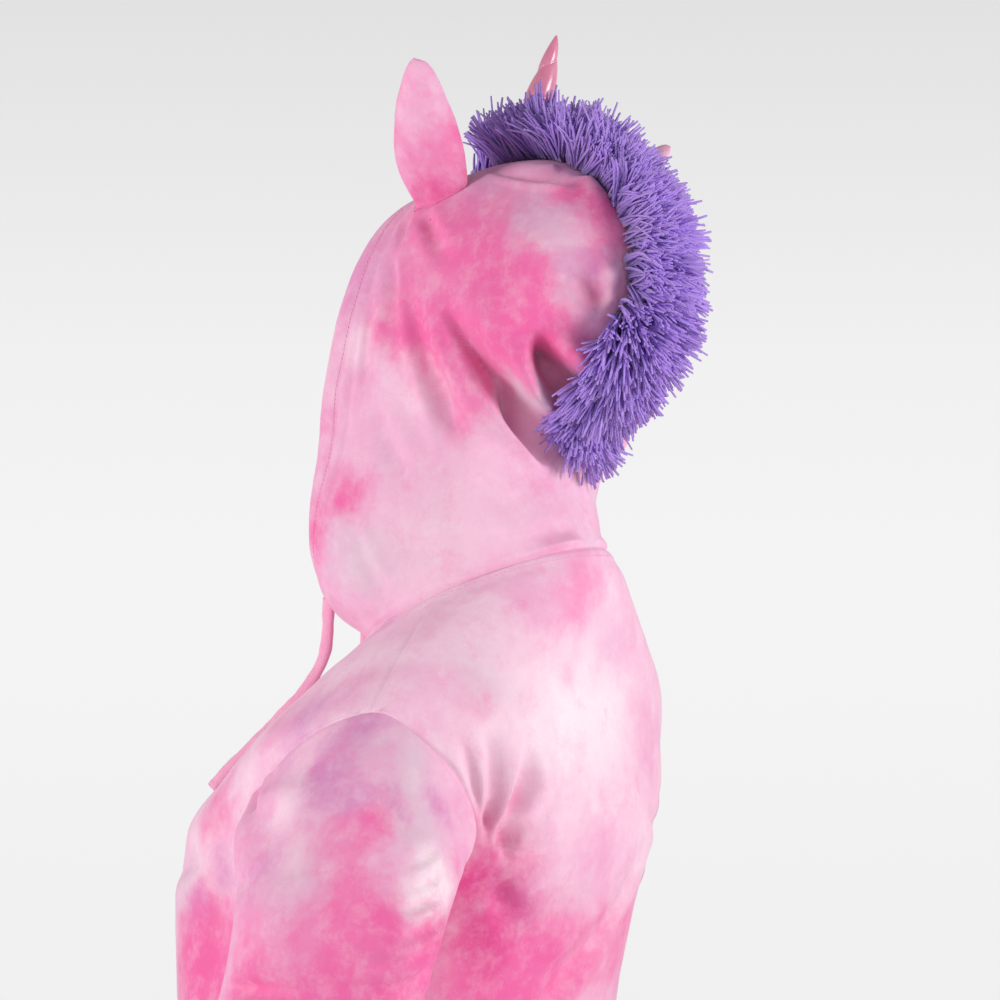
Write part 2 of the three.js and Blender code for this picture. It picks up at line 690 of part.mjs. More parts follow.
// What the pieces sewn on the hood are cut against: the cloth with the seam gap outside it.
function hoodClearance() {
  return CLEARANCE_DEPTHS.flatMap((deep) => {
    const wall = hoodWall({ lift: CLEARANCE_LIFT, deep, offset: -SEAM / 2 });
    return [1, -1].map((side) => toSolid(solidBetween(turned(mirrored(wall, side)))));
  });
}
const CLEARANCE = hoodClearance();

function seated(geometry) {
  const cut = CLEARANCE.reduce((solid, blank) => solid.subtract(blank), toSolid(geometry));
  return toGeometry(largestPiece(cut));
}

// ---------------------------------------------------------------- ears and horn

const EAR_SHAPE = columns(['t', 'width'], [
  [0, 0.80], [0.25, 1], [0.5, 0.93], [0.75, 0.62], [0.93, 0.25], [1, 0.05],
]);

function ear({ base, tip, across }) {
  const axis = vec(tip).sub(vec(base));
  const wide = vec(across).normalize();
  const thick = wide.clone().cross(axis).normalize();
  const rings = range(EAR.rows).map((i) => {
    const t = i / EAR.rows;
    const share = curve(EAR_SHAPE.t, EAR_SHAPE.width, t);
    const middle = vec(base).addScaledVector(axis, t);
    return range(EAR.sides - 1).map((j) => {
      const angle = 2 * Math.PI * j / EAR.sides;
      const dished = EAR.dish * Math.cos(angle) ** 2 * share;
      return turnHead(middle.clone()
        .addScaledVector(wide, EAR.width / 2 * share * Math.cos(angle))
        .addScaledVector(thick, EAR.thick / 2 * Math.sqrt(share) * Math.sin(angle) + dished));
    });
  });
  return seated(loft(rings));
}

function hornRings(extra = 0) {
  const base = vec(HORN.base);
  const axis = vec(HORN.tip).sub(base);
  return range(HORN.rows).map((i) => {
    const t = i / HORN.rows;
    const radius = HORN.radius * (1 - t) ** HORN.taper + HORN.tipRadius;
    return range(HORN.sides - 1).map((j) => {
      const angle = 2 * Math.PI * j / HORN.sides;
      const spiral = Math.cos(angle - 2 * Math.PI * HORN.turns * t);
      const r = radius * (1 - HORN.groove * Math.max(0, spiral) ** 2) + extra;
      return turnHead(base.clone().addScaledVector(axis, t)
        .add(new THREE.Vector3(r * Math.cos(angle), r * Math.sin(angle), 0)));
    });
  });
}

function horn() {
  return seated(loft(hornRings()));
}

// ---------------------------------------------------------------- mane

// The centre seam from face edge to nape, in the head's own frame.
function seamLine(cells) {
  const crown = hoodRow(HOOD_TOP);
  const nape = range(40).slice(1).map((k) => hoodRow(HOOD_TOP * (1 - k / 40))[HOOD_COLUMNS])
    .filter((point) => point.z > YARN.napeZ);
  return evenly([...crown, ...nape], cells);
}

// Places along one tuft's stretch of the seam, each with the way along it and out of the cloth.
function rootLine({ start, end }, cells) {
  const fine = 400;
  const line = seamLine(fine);
  return range(cells).map((k) => {
    const share = start + (end - start) * k / cells;
    const at = THREE.MathUtils.clamp(Math.round(share * fine), 1, fine - 1);
    const reach = Math.min(6, at, fine - at);
    const along = line[at + reach].clone().sub(line[at - reach]).normalize();
    const out = new THREE.Vector3(1, 0, 0).cross(along).normalize();
    return { point: line[at], along, out, share };
  });
}

function tuftStrip(tuft) {
  const across = [-1, 0, 1];
  const line = rootLine(tuft, tuft.strips);
  const lifted = (height) => line.map(({ point, out }) => across.map((share) => (
    turnHead(point.clone().add(new THREE.Vector3(share * YARN.stripHalf, 0, 0))
      .addScaledVector(out, height)))));
  return toSolid(solidBetween({ outer: lifted(SEAM + YARN.stripThick), inner: lifted(-YARN.stripSunk) }));
}

// One lock: a three-sided spike that leans over and thins towards its tip.
function yarnLock(root, fan, seed) {
  const { point, along, out, share } = root;
  const lean = THREE.MathUtils.degToRad(fan.lean + UNEVEN.lean * (scatter(seed) - 0.5));
  const drift = UNEVEN.drift * (scatter(seed + 31) - 0.5) + curve(YARN_FALL.place, YARN_FALL.droop, share);
  const sideways = new THREE.Vector3(1, 0, 0);
  const way = out.clone().multiplyScalar(Math.cos(lean)).addScaledVector(sideways, Math.sin(lean))
    .addScaledVector(along, drift).normalize();
  const growth = UNEVEN.shortest + UNEVEN.longer * scatter(seed + 57);
  const length = growth * curve(YARN_FALL.place, YARN_FALL.length, share);
  const foot = point.clone().addScaledVector(sideways, fan.across).addScaledVector(out, YARN.footHeight);
  const u = way.clone().cross(along).normalize();
  const v = u.clone().cross(way);
  const ringAt = (part, radius) => range(2).map((k) => {
    const angle = 2 * Math.PI * (k / 3 + scatter(seed + 83));
    return turnHead(foot.clone().addScaledVector(way, length * part)
      .addScaledVector(u, radius * Math.cos(angle)).addScaledVector(v, radius * Math.sin(angle)));
  });
  return toSolid(loft([
    ringAt(0, YARN.radius),
    ringAt(YARN.waist, YARN.waistRadius),
    ringAt(1, YARN.tipRadius),
  ]));
}

function yarnTuft(name, firstSeed) {
  const tuft = TUFTS[name];
  const locks = rootLine(tuft, tuft.stations).slice(0, -1).flatMap((root, k) => (
    YARN_FAN.map((fan, row) => yarnLock(root, fan, firstSeed + k * YARN_FAN.length + row))));
  const joined = wasm.Manifold.union([tuftStrip(tuft), ...locks]);
  const clear = joined.subtract(toSolid(loft(hornRings(SEAM))));
  return seated(toGeometry(clear));
}

// ---------------------------------------------------------------- drawstrings

function drawstring(word) {
  const route = new THREE.CatmullRomCurve3(CORD_ROUTES[word].map(vec));
  const section = new THREE.Shape(range(CORD.sides - 1).map((k) => {
    const angle = 2 * Math.PI * k / CORD.sides;
    return new THREE.Vector2(Math.cos(angle), Math.sin(angle)).multiplyScalar(CORD.diameter / 2);
  }));
  return new THREE.ExtrudeGeometry(section, { steps: CORD.steps, extrudePath: route });
}

// ---------------------------------------------------------------- finishes

function cloth(colour, roughness = 0.95) {
  return new THREE.MeshStandardMaterial({ color: colour, roughness, metalness: 0 });
}

const HOOD_PINK = cloth(0xe98bb6);
const BODY_PINK = cloth(0xe8b4cb);
const SLEEVE_PINK = cloth(0xe39abf);
const BAND_PINK = cloth(0xe79fc2);
const EAR_PINK = cloth(0xe9b3c8);
const CORD_PINK = cloth(0xe8a0bd, 0.9);
const YARN_VIOLET = cloth(0x7d63bf);
const HORN_PINK = new THREE.MeshStandardMaterial({ color: 0xe58aa0, roughness: 0.3, metalness: 0.1 });

// ---------------------------------------------------------------- the garment

const hoodie = new THREE.Group();

function place(name, geometry, material) {
  const mesh = new THREE.Mesh(geometry, material);
  mesh.name = name;
  hoodie.add(mesh);
}

for (const name of ['front', 'back']) place(name, bodyPanel(name), BODY_PINK);
place('hem_band', hemBand(), BAND_PINK);
for (const [side, word] of [[1, 'left'], [-1, 'right']]) {
  place(`sleeve_${word}`, sleeve(word, side), SLEEVE_PINK);
  place(`cuff_${word}`, cuff(word, side), BAND_PINK);
  place(`hood_${word}`, hoodHalf(side), HOOD_PINK);
  place(`drawstring_${word}`, drawstring(word), CORD_PINK);
}
for (const { name, ...shape } of EARS) place(name, ear(shape), EAR_PINK);
place('horn', horn(), HORN_PINK);
place('forelock', yarnTuft('forelock', 1), YARN_VIOLET);
place('mane', yarnTuft('mane', 101), YARN_VIOLET);

export default hoodie;
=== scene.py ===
"""Cosplay hoodie with a yarn mane, two ears and a horn, hollow as worn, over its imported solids.

The tables are in millimetres in the garment's frame: +X is the wearer's left, +Y the back, +Z up,
and the origin is the middle of the neck seam. Meshes are made in metres.
"""
import itertools
import math

import bpy
import numpy as np
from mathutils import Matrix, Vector
from mathutils.bvhtree import BVHTree


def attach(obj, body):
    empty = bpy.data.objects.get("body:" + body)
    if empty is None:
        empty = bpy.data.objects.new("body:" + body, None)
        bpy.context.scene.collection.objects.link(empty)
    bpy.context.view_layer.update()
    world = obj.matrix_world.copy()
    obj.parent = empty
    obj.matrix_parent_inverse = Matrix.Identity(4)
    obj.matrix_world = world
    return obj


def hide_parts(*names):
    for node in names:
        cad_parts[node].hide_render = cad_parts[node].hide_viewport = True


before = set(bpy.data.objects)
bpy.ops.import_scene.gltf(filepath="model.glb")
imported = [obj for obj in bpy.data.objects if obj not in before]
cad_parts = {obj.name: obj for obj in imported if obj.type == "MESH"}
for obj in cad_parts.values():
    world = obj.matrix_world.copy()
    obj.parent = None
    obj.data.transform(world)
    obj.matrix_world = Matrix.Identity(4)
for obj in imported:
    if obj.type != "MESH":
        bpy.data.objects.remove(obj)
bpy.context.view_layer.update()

MM = 0.001

# ---------------------------------------------------------------- camera: from the left and behind

CAMERA_TURN = math.radians(60)      # from the back (+Y) round to the wearer's left (+X)
CAMERA_AIM = np.array([-4.4, 7.7, 70.4])
CAMERA_DISTANCE = 2400
VIEW_WIDTH = 740.7                  # what the picture spans at that distance
SENSOR = 36

TOWARDS_CAMERA = np.array([math.sin(CAMERA_TURN), math.cos(CAMERA_TURN), 0])
VIEW_RIGHT = np.array([-math.cos(CAMERA_TURN), math.sin(CAMERA_TURN), 0])


def add_object(name, data):
    made = bpy.data.objects.new(name, data)
    bpy.context.scene.collection.objects.link(made)
    return made


def make_camera():
    data = bpy.data.cameras.new("camera")
    data.sensor_width = SENSOR
    data.lens = SENSOR * CAMERA_DISTANCE / VIEW_WIDTH
    camera = add_object("camera", data)
    camera.location = (CAMERA_AIM + CAMERA_DISTANCE * TOWARDS_CAMERA) * MM
    camera.rotation_euler = Vector(-TOWARDS_CAMERA).to_track_quat("-Z", "Y").to_euler()
    bpy.context.scene.camera = camera


# ---------------------------------------------------------------- tables

CLOTH = 2.2                         # fleece wall
BAND = 3.2                          # doubled rib of the cuffs and hem band
NECK_TILT = 0.41                    # rise of the neck seam for each mm towards the back
HEM_BAND = 62
CUFF = 60
BAND_INSET = 2.5
SEAM = 0.4
TAPE = 9                            # strip sewn over the neck seam
HALF_GAP = 0.05                     # between the hood's halves and its mirror plane


def columns(names, rows):
    return {name: np.array([row[k] for row in rows], float) for k, name in enumerate(names.split())}


# Rings of the body from hem to neck seam; the height is z + tilt * y.
BODY = columns("w z tilt half_width side_y front_y back_y square", [
    [0.00, -640, 0.00, 184, -65, -212, 80, 2.3],
    [0.15, -540, 0.00, 180, -66, -222, 74, 2.3],
    [0.32, -420, 0.00, 172, -68, -230, 69, 2.3],
    [0.48, -310, 0.00, 165, -64, -236, 76, 2.3],
    [0.60, -235, 0.00, 162, -50, -242, 92, 2.3],
    [0.70, -175, 0.02, 166, -26, -230, 107, 2.3],
    [0.78, -126, 0.06, 180, -2, -194, 104, 2.2],
    [0.85, -84, 0.12, 190, 14, -154, 96, 2.1],
    [0.92, -42, 0.22, 150, 16, -119, 96, 2.0],
    [0.97, -15, 0.34, 110, 12, -98, 95, 2.0],
    [1.00, 0, NECK_TILT, 84, 5, -88, 88, 2.0],
])
ARMHOLE_LOW, ARMHOLE_HIGH = 0.63, 0.86
ARMHOLE_BACK, ARMHOLE_FRONT, ARMHOLE_SKEW = math.radians(40), math.radians(26), 0.2

# Rings of the sleeves: s runs along the arm, x is outwards, side and deep are half widths.
ARM_COLUMNS = "s x y z side deep"
ARMS = {
    "left": columns(ARM_COLUMNS, [
        [0.12, 205, 24, -165, 60, 88],
        [0.25, 226, 16, -212, 58, 75],
        [0.45, 240, -4, -300, 56, 68],
        [0.60, 246, -45, -375, 54, 62],
        [0.80, 240, -114, -465, 48, 54],
        [1.00, 228, -190, -550, 42, 46],
    ]),
    "right": columns(ARM_COLUMNS, [
        [0.12, 208, -4, -158, 60, 76],
        [0.25, 234, -46, -198, 58, 66],
        [0.45, 244, -122, -256, 56, 60],
        [0.60, 240, -182, -304, 54, 57],
        [0.80, 212, -268, -358, 48, 52],
        [1.00, 168, -346, -406, 42, 46],
    ]),
}
LEAVE_FORWARD = {"left": 0, "right": -0.55}
SLEEVE_HEAD = 0.28


def neck_seam(y):
    return NECK_TILT * y + 0.05


# Rows of the left half of the hood in the head's own frame: face edge, side, centre seam.
HOOD = columns("v rim_x rim_y rim_z side_x side_y side_z seam_y seam_z", [
    [0, 2, -88, neck_seam(-88), 84, 5, neck_seam(5), 88, neck_seam(88)],
    [1, 16, -115, -14, 85, 8, 24, 78, 58],
    [2, 50, -127, 22, 85, 5, 62, 62, 96],
    [3, 73, -128, 70, 88, 0, 110, 58, 136],
    [4, 82, -130, 130, 96, -5, 165, 80, 176],
    [5, 82, -131, 190, 97, -10, 215, 94, 218],
    [6, 68, -129, 240, 86, -15, 265, 92, 258],
    [7, 42, -126, 272, 55, -25, 307, 80, 285],
    [8, 0, -124, 288, 0, -35, 328, 62, 300],
])
HOOD_TOP = 8
# How square the rows are: round at the neck seam, like the body there, squarer from v reached on.
HOOD_SQUARE = {"neck": 2.0, "front": 2.6, "back": 2.2, "reached": 1.5}

# The head looks a little to its right, up and over.
TURN_YAW, TURN_PITCH, TURN_ROLL = math.radians(-13), math.radians(-8), math.radians(-10)
TURN_OVER = 140

# Folds run through three points. depth is negative for a ridge, width is half the trough's, lean
# sharpens one side of it and softens the other, and peak is where along its length it is deepest.
HOOD_FOLDS = [
    [98, -17, 198, 84, 32, 148, 18, 60, 99, 26, 9, -0.55, 0.75],
    [97, -24, 180, 88, 20, 138, 38, 56, 96, -4, 8, 0, 0.6],
    [97, -56, 207, 94, -12, 138, 80, 26, 100, 9, 8, -0.2, 0.55],
    [74, 56, 192, 55, 61, 162, 12, 64, 144, 36, 10, -0.3, 0.55],
    [62, 66, 196, 46, 72, 180, 28, 74, 168, -5, 9, 0, 0.5],
    [40, 87, 221, 55, 79, 231, 66, 68, 243, 14, 9, 0, 0.3],
    [50, -48, 308, 59, 4, 304, 40, 29, 309, 11, 7, -0.4, 0.7],
    [28, 27, 314, 34, 46, 303, 37, 70, 284, -5, 9, 0, 0.3],
    [94, -84, 238, 88, -86, 252, 76, -90, 266, 4, 4, 0, 0.5],
    [92, -84, 232, 98, -66, 190, 97, -50, 150, 4, 6, 0.3, 0.3],
    [88, -96, 214, 92, -88, 160, 90, -80, 118, 3, 5, -0.3, 0.4],
    [92, -70, 120, 94, -40, 90, 90, -14, 76, 3, 8, 0.2, 0.4],
    [76, -70, 262, 90, -46, 246, 98, -22, 226, 5, 6, 0, 0.2],
    [84, 30, 92, 74, 52, 78, 52, 66, 70, 4, 8, 0.3, 0.7],
    [83, -71, 50, 82, -50, 14, 82, -24, -8, 3, 8, 0.3, 0.5],
    [88, -30, 34, 86, 8, 30, 66, 46, 38, 2.4, 9, 0, 0.5],
    [8, 88, 42, 36, 82, 38, 70, 60, 22, -6, 6, 0, 0.5],
]
# Share of the depths above: the right half, which the picture hides, is guessed smoother.
HOOD_FOLD_SHARE = {"left": 1, "right": 0.4}
BODY_FOLDS = [
    [126, 74, -168, 130, 80, -120, 135, 78, -85, 10.8, 6, 0.3, 0.15],
    [122, 77, -170, 107, 91, -126, 95, 93, -92, 13, 7, 0.4, 0.15],
    [118, 79, -172, 100, 88, -154, 70, 102, -138, 10.8, 7, 0.3, 0.1],
    [128, 72, -164, 143, 70, -118, 153, 68, -90, 6.5, 5, 0.2, 0.15],
    [118, 77, -178, 90, 92, -176, 60, 100, -168, 6.5, 7, 0, 0.15],
    [114, 72, -196, 98, 76, -222, 70, 84, -246, 5.1, 9, 0, 0.2],
    [84, 98, -100, 78, 98, -124, 76, 96, -146, 2.6, 6, 0, 0.5],
    [-42, 91, -226, 10, 83, -266, 51, 73, -290, 9.6, 12, 0.5, 0.6],
    [-60, 98, -176, -38, 98, -214, -8, 90, -246, 2.6, 12, 0, 0.5],
    [64, 98, -96, 50, 100, -140, 38, 102, -182, 2.6, 12, 0, 0.4],
    [20, 102, -110, 10, 104, -160, 0, 98, -206, 2.2, 14, 0, 0.5],
    [-128, 72, -168, -130, 82, -124, -124, 86, -86, 4, 7, 0.3, 0.15],
    [-121, 74, -172, -98, 93, -146, -80, 98, -106, 4, 8, 0.3, 0.15],
    [-118, 76, -178, -84, 96, -166, -46, 104, -150, 3.2, 8, 0, 0.15],
    [124, -146, -196, 96, -196, -204, 60, -226, -216, 4.8, 12, 0.3, 0.3],
    [128, -128, -206, 140, -140, -250, 136, -150, -300, 4.8, 12, 0, 0.4],
    [-120, -150, -190, -92, -198, -186, -54, -228, -192, 8, 12, 0.3, 0.2],
    [-124, -140, -176, -108, -172, -156, -80, -190, -144, 4.8, 9, 0, 0.2],
    [110, 60, -420, 20, 72, -450, -80, 66, -420, 9.6, 16, 0.2, 0.5],
    [60, 78, -330, 100, 62, -400, 130, 30, -470, 4.8, 14, 0, 0.5],
    [-120, 50, -380, -70, 70, -440, -10, 74, -500, 6.4, 14, 0, 0.5],
    [120, 30, -560, 40, 72, -590, -60, 72, -560, 9.6, 13, 0.3, 0.5],
    [-150, 20, -600, -110, 50, -575, -60, 66, -590, 6.4, 10, 0, 0.5],
    [-130, -170, -470, -20, -226, -500, 100, -200, -470, 9.6, 18, 0.2, 0.5],
    [120, -170, -560, 10, -216, -590, -110, -180, -550, 9.6, 14, 0.3, 0.5],
    [80, -220, -300, 60, -232, -380, 90, -214, -450, 4.8, 16, 0, 0.5],
    [-90, -216, -300, -60, -232, -370, -80, -220, -440, 4.8, 16, 0, 0.5],
]
SLEEVE_FOLDS = {
    "left": [
        [196, 84, -166, 216, 74, -172, 238, 66, -178, 3.9, 5, 0.3, 0.2],
        [198, 88, -180, 226, 80, -186, 254, 62, -186, 3.9, 5, 0.3, 0.2],
        [204, 86, -196, 232, 80, -200, 252, 68, -206, 4.5, 6, 0.3, 0.2],
        [204, 88, -212, 244, 80, -220, 268, 60, -213, 5.1, 6, 0.3, 0.2],
        [206, 88, -226, 258, 76, -237, 282, 46, -227, 4.5, 6, 0.3, 0.2],
        [204, 86, -244, 246, 80, -250, 280, 46, -246, 5.1, 7, 0, 0.2],
        [210, 84, -262, 254, 76, -262, 286, 36, -258, 4.5, 7, 0.3, 0.3],
        [273, -46, -260, 289, -7, -253, 285, 38, -258, 7.5, 7, 0.4, 0.4],
        [206, 80, -286, 250, 72, -282, 288, 26, -276, 5.4, 8, 0, 0.3],
        [208, 74, -312, 256, 64, -304, 292, 12, -292, 4.5, 8, 0.3, 0.3],
        [176, -92, -117, 200, -86, -134, 226, -72, -140, 9, 7, 0.4, 0.2],
        [186, -84, -130, 214, -78, -172, 232, -64, -236, -8, 26, 0, 0.4],
        [228, -56, -184, 250, -52, -190, 268, -32, -186, 3, 8, 0, 0.5],
        [194, -70, -140, 222, -40, -130, 239, 4, -141, -4.5, 12, 0, 0.5],
        [190, -60, -350, 232, -104, -372, 278, -80, -360, 9, 11, 0.3, 0.4],
        [192, -80, -384, 236, -130, -404, 276, -110, -392, 7.5, 11, 0.3, 0.4],
        [190, -40, -330, 220, -84, -338, 262, -76, -330, 6, 9, 0, 0.4],
        [196, -120, -430, 236, -158, -440, 274, -140, -430, 7.5, 10, 0, 0.4],
        [200, -10, -420, 244, -50, -450, 284, -90, -450, 4.5, 12, 0, 0.5],
        [196, -130, -500, 230, -190, -500, 266, -190, -490, 6, 9, 0.3, 0.5],
        [190, -170, -530, 226, -214, -520, 262, -210, -514, 6, 8, 0.3, 0.5],
        [196, -120, -540, 220, -130, -556, 250, -138, -560, 4.5, 8, 0, 0.5],
    ],
    "right": [
        [170, 50, -190, 214, 36, -196, 252, 2, -190, 6, 9, 0.3, 0.3],
        [176, 30, -210, 220, 12, -218, 256, -20, -216, 6, 8, 0.3, 0.3],
        [188, -60, -128, 218, -70, -136, 250, -70, -150, 6, 10, 0.3, 0.3],
        [200, -150, -214, 240, -170, -240, 262, -168, -280, 7.5, 11, 0.3, 0.4],
        [178, -196, -236, 222, -220, -262, 244, -214, -306, 7.5, 11, 0.3, 0.4],
        [196, -176, -226, 232, -196, -252, 254, -192, -296, 4.5, 8, 0, 0.4],
        [200, -60, -300, 238, -60, -290, 280, -90, -290, 6, 10, 0.3, 0.4],
        [196, -90, -320, 238, -92, -310, 278, -120, -306, 6, 10, 0.3, 0.4],
        [160, -280, -320, 206, -310, -330, 236, -296, -350, 6, 9, 0, 0.5],
        [150, -320, -350, 190, -350, -360, 214, -340, -384, 6, 9, 0.3, 0.5],
    ],
}

EAR = {"width": 60, "thick": 15, "dish": 4}
EARS = {
    "ear_left": {"base": [65, -78, 265], "tip": [134, -59, 368], "across": [0.35, -0.93, 0.12]},
    "ear_right": {"base": [-65, -78, 265], "tip": [-149, -54, 378], "across": [-0.35, -0.93, 0.12]},
}
EAR_SHAPE = columns("t width", [
    [0, 0.74], [0.22, 0.97], [0.45, 0.98], [0.66, 0.82], [0.84, 0.56], [0.95, 0.34], [1, 0.16],
])
HORN = {"base": [0, -62, 316], "tip": [0, -57, 425],
        "radius": 19, "taper": 0.82, "end": 1.6, "turns": 4}
STUFFED_SIDES = 56                  # of the ears' and the horn's rings

# Yarn by its place along the hood's centre seam, 0 at the face edge and 1 at the nape. near and
# far are its lengths on the wearer's left and right, droop is its way towards the nape, left and
# right are the widest leans in degrees, and root is how far its roots reach to the left.
NAPE_Z = 124
FAR_ROOT = 9
YARN = columns("place near far droop left right root", [
    [0.00, 26, 34, 0.50, 5, -70, 6], [0.10, 36, 44, 0.40, 14, -72, 6],
    [0.15, 38, 50, 0.10, 30, -75, 10], [0.20, 42, 52, -0.15, 58, -75, 14],
    [0.30, 48, 52, -0.05, 44, -75, 18], [0.40, 48, 42, 0.05, 26, -74, 24],
    [0.50, 46, 35, 0.05, 14, -76, 29], [0.60, 44, 32, 0.05, 10, -78, 30],
    [0.68, 42, 33, 0.05, 18, -76, 30], [0.75, 42, 35, 0.10, 54, -74, 28],
    [0.80, 44, 37, 0.60, 76, -74, 25], [0.86, 44, 38, 0.90, 82, -74, 20],
    [0.93, 34, 46, 1.00, 78, -76, 13], [1.00, 26, 46, 0.80, 70, -78, 8],
])
TUFTS = {
    "forelock": {"start": 0.05, "end": 0.16, "clumps": 80, "seed": 11},
    "mane_crown": {"start": 0.16, "end": 0.58, "clumps": 420, "seed": 12},
    "mane_nape": {"start": 0.58, "end": 1.0, "clumps": 460, "seed": 13},
}
CLUMP = 8                           # strands of yarn in a clump
YARN_RADIUS = 1.2
YARN_RINGS = np.array([0, 0.22, 0.48, 0.74, 1.0])
YARN_TAPER = np.array([0.9, 1.0, 1.0, 0.95, 0.7])
SEAM_CELLS = 400

CORD_WIDTH, CORD_THICK = 9.4, 6.4
CASING = 25                         # depth of the drawstring's casing along the hood's face edge
CORD_ROUTES = {
    "left": [
        [26, -123.4, -3], [26, -124, -15], [27, -124, -30], [30, -125, -46], [35, -130, -61],
        [41, -138, -75], [47, -149.5, -89], [53, -161.5, -103], [59, -174, -117], [65, -187, -131],
        [71, -199, -146],
    ],
    "right": [
        [-26, -121.5, -3], [-26, -122.7, -15], [-27, -124, -30], [-30, -126, -46], [-34, -131, -61],
        [-39, -139, -75], [-44, -151, -89], [-49, -163.5, -103], [-53, -177, -117], [-57, -190, -131],
        [-60, -203, -146],
    ],
}


# ---------------------------------------------------------------- numbers

def smooth(t):
    u = np.clip(t, 0, 1)
    return u * u * (3 - 2 * u)


def power(value, exponent):
    return np.sign(value) * np.abs(value) ** exponent


def unit(vectors):
    return vectors / np.linalg.norm(vectors, axis=-1, keepdims=True)


def hump(distance, width):
    return np.exp(-(distance / width) ** 2)


def around(count):
    """Angles of evenly spaced points round a ring."""
    return 2 * np.pi * np.arange(count) / count


def curve(keys, values, t, ends="free"):
    """Cubic through a table column; "even" flattens it at its last row."""
    last = len(keys) - 1
    before = np.maximum(np.arange(last + 1) - 1, 0)
    after = np.minimum(np.arange(last + 1) + 1, last)
    slope = (values[after] - values[before]) / (keys[after] - keys[before])
    if ends == "even":
        slope[last] = 0
    k = np.clip(np.searchsorted(keys, t, side="right") - 1, 0, last - 1)
    h = keys[k + 1] - keys[k]
    s = (t - keys[k]) / h
    start = (1 + 2 * s) * (1 - s) ** 2 * values[k] + s * (1 - s) ** 2 * h * slope[k]
    end = s * s * (3 - 2 * s) * values[k + 1] + s * s * (s - 1) * h * slope[k + 1]
    return start + end


def noise(points, size, seed):
    """Smooth repeatable noise from -1 to 1 with lumps about size mm across."""
    table = np.random.default_rng(seed).uniform(-1, 1, 4096)
    place = points / size + 17.3 * seed
    cell = np.floor(place).astype(np.int64)
    part = smooth(place - cell)
    total = np.zeros(points.shape[:-1])
    for corner in itertools.product((0, 1), repeat=3):
        c = cell + corner
        key = (c[..., 0] * 73856093 ^ c[..., 1] * 19349663 ^ c[..., 2] * 83492791) & 4095
        total += table[key] * np.prod(np.where(corner, part, 1 - part), axis=-1)
    return total


def edged(cells, length):
    """Shares from 0 to 1, even but for tight steps that round off each end of length mm."""
    tight = np.array([0, 0.25, 0.7, 1.3, 2.2]) / length
    middle = np.linspace(tight[-1], 1 - tight[-1], cells + 1)
    return np.concatenate([tight[:-1], middle, 1 - tight[-2::-1]])


def arc(points, axis=0):
    """Distance of each point from the start of its line, along a line or one way of a grid."""
    steps = np.linalg.norm(np.diff(points, axis=axis), axis=-1)
    start = np.zeros_like(np.take(steps, [0], axis))
    return np.concatenate([start, np.cumsum(steps, axis=axis)], axis=axis)


def read_off(goal, keys, rows):
    """Rows of points or ways read off at goal, between the keys they stand at."""
    return np.stack([np.interp(goal, keys, rows[:, k]) for k in range(3)], axis=-1)


def evenly(points, shares):
    """Points of a line at shares of its length."""
    lengths = arc(points)
    return read_off(np.asarray(shares) * lengths[-1], lengths, points)


# ---------------------------------------------------------------- cloth

def grid_normals(grid, ring):
    if ring:
        across = np.roll(grid, -1, axis=1) - np.roll(grid, 1, axis=1)
    else:
        across = np.gradient(grid, axis=1)
    return unit(np.cross(across, np.gradient(grid, axis=0)))


def edge_distance(grid, ring):
    """Distance to the nearest edge of the panel, along the grid's lines."""
    nearest = np.full(grid.shape[:2], np.inf)
    for axis in (0,) if ring else (0, 1):
        run = arc(grid, axis)
        nearest = np.minimum(nearest, np.minimum(run, np.take(run, [-1], axis) - run))
    return nearest


def fold_line(fold, count=21):
    """Points of a fold's bend, which goes through all three of its points."""
    a, b, c = (np.array(fold[k:k + 3], float) for k in (0, 3, 6))
    t = np.linspace(0, 1, count)[:, None]
    return (1 - t) * (1 - 2 * t) * a + 4 * t * (1 - t) * b + t * (2 * t - 1) * c


def fold_shift(points, normals, folds):
    """How far each point of the cloth moves out, or in where negative, under a table of folds."""
    shift = np.zeros(points.shape[:-1])
    for fold in folds:
        depth, width, lean, peak = fold[9:]
        line = fold_line(fold)
        margin = 5 * width + 8
        inside = (points > line.min(0) - margin) & (points < line.max(0) + margin)
        near_box = np.all(inside, axis=-1)
        p, n = points[near_box], normals[near_box]
        if not len(p):
            continue
        steps = np.diff(line, axis=0)
        reach = p[:, None] - line[:-1]
        part = np.clip((reach * steps).sum(-1) / (steps ** 2).sum(-1), 0, 1)
        offset = reach - part[..., None] * steps
        rows = np.arange(len(p))
        nearest = np.linalg.norm(offset, axis=-1).argmin(1)
        offset = offset[rows, nearest]
        above = (offset * n).sum(-1)
        near = np.linalg.norm(offset - above[:, None] * n, axis=-1)
        at = (nearest + part[rows, nearest]) / len(steps)
        away = (np.cross(steps[nearest], n) * offset).sum(-1)
        side = np.tanh(away / np.linalg.norm(steps[nearest], axis=-1) / 2)
        spread = width * (1 + lean * side) * (0.75 + 0.5 * at)
        fade = (smooth(at / peak) * smooth((1 - at) / (1 - peak))) ** 0.6
        uneven = (1 + 0.25 * noise(p, 3 * width, 5)) * smooth((40 - np.abs(above)) / 15)
        crease = hump(near, spread) - 0.3 * hump(near - 2 * spread, spread)
        shift[near_box] -= depth * fade * uneven * crease
    return shift


def drape(points, seed):
    """Slack that no fold names: soft lumps and faint wrinkles."""
    return (1.1 * noise(points, 52, seed) + 0.5 * noise(points * [1, 1, 0.7], 23, seed + 1)
            + 0.15 * noise(points, 9, seed + 2))


def seam_relief(points, edge, seed):
    """The cloth rolls up beside its seams, with small puckers."""
    pucker = 0.35 * noise(points, 7, seed) * np.exp(-edge / 7)
    return (0.55 * hump(edge - 4.5, 3) + pucker) * smooth(edge / 3)


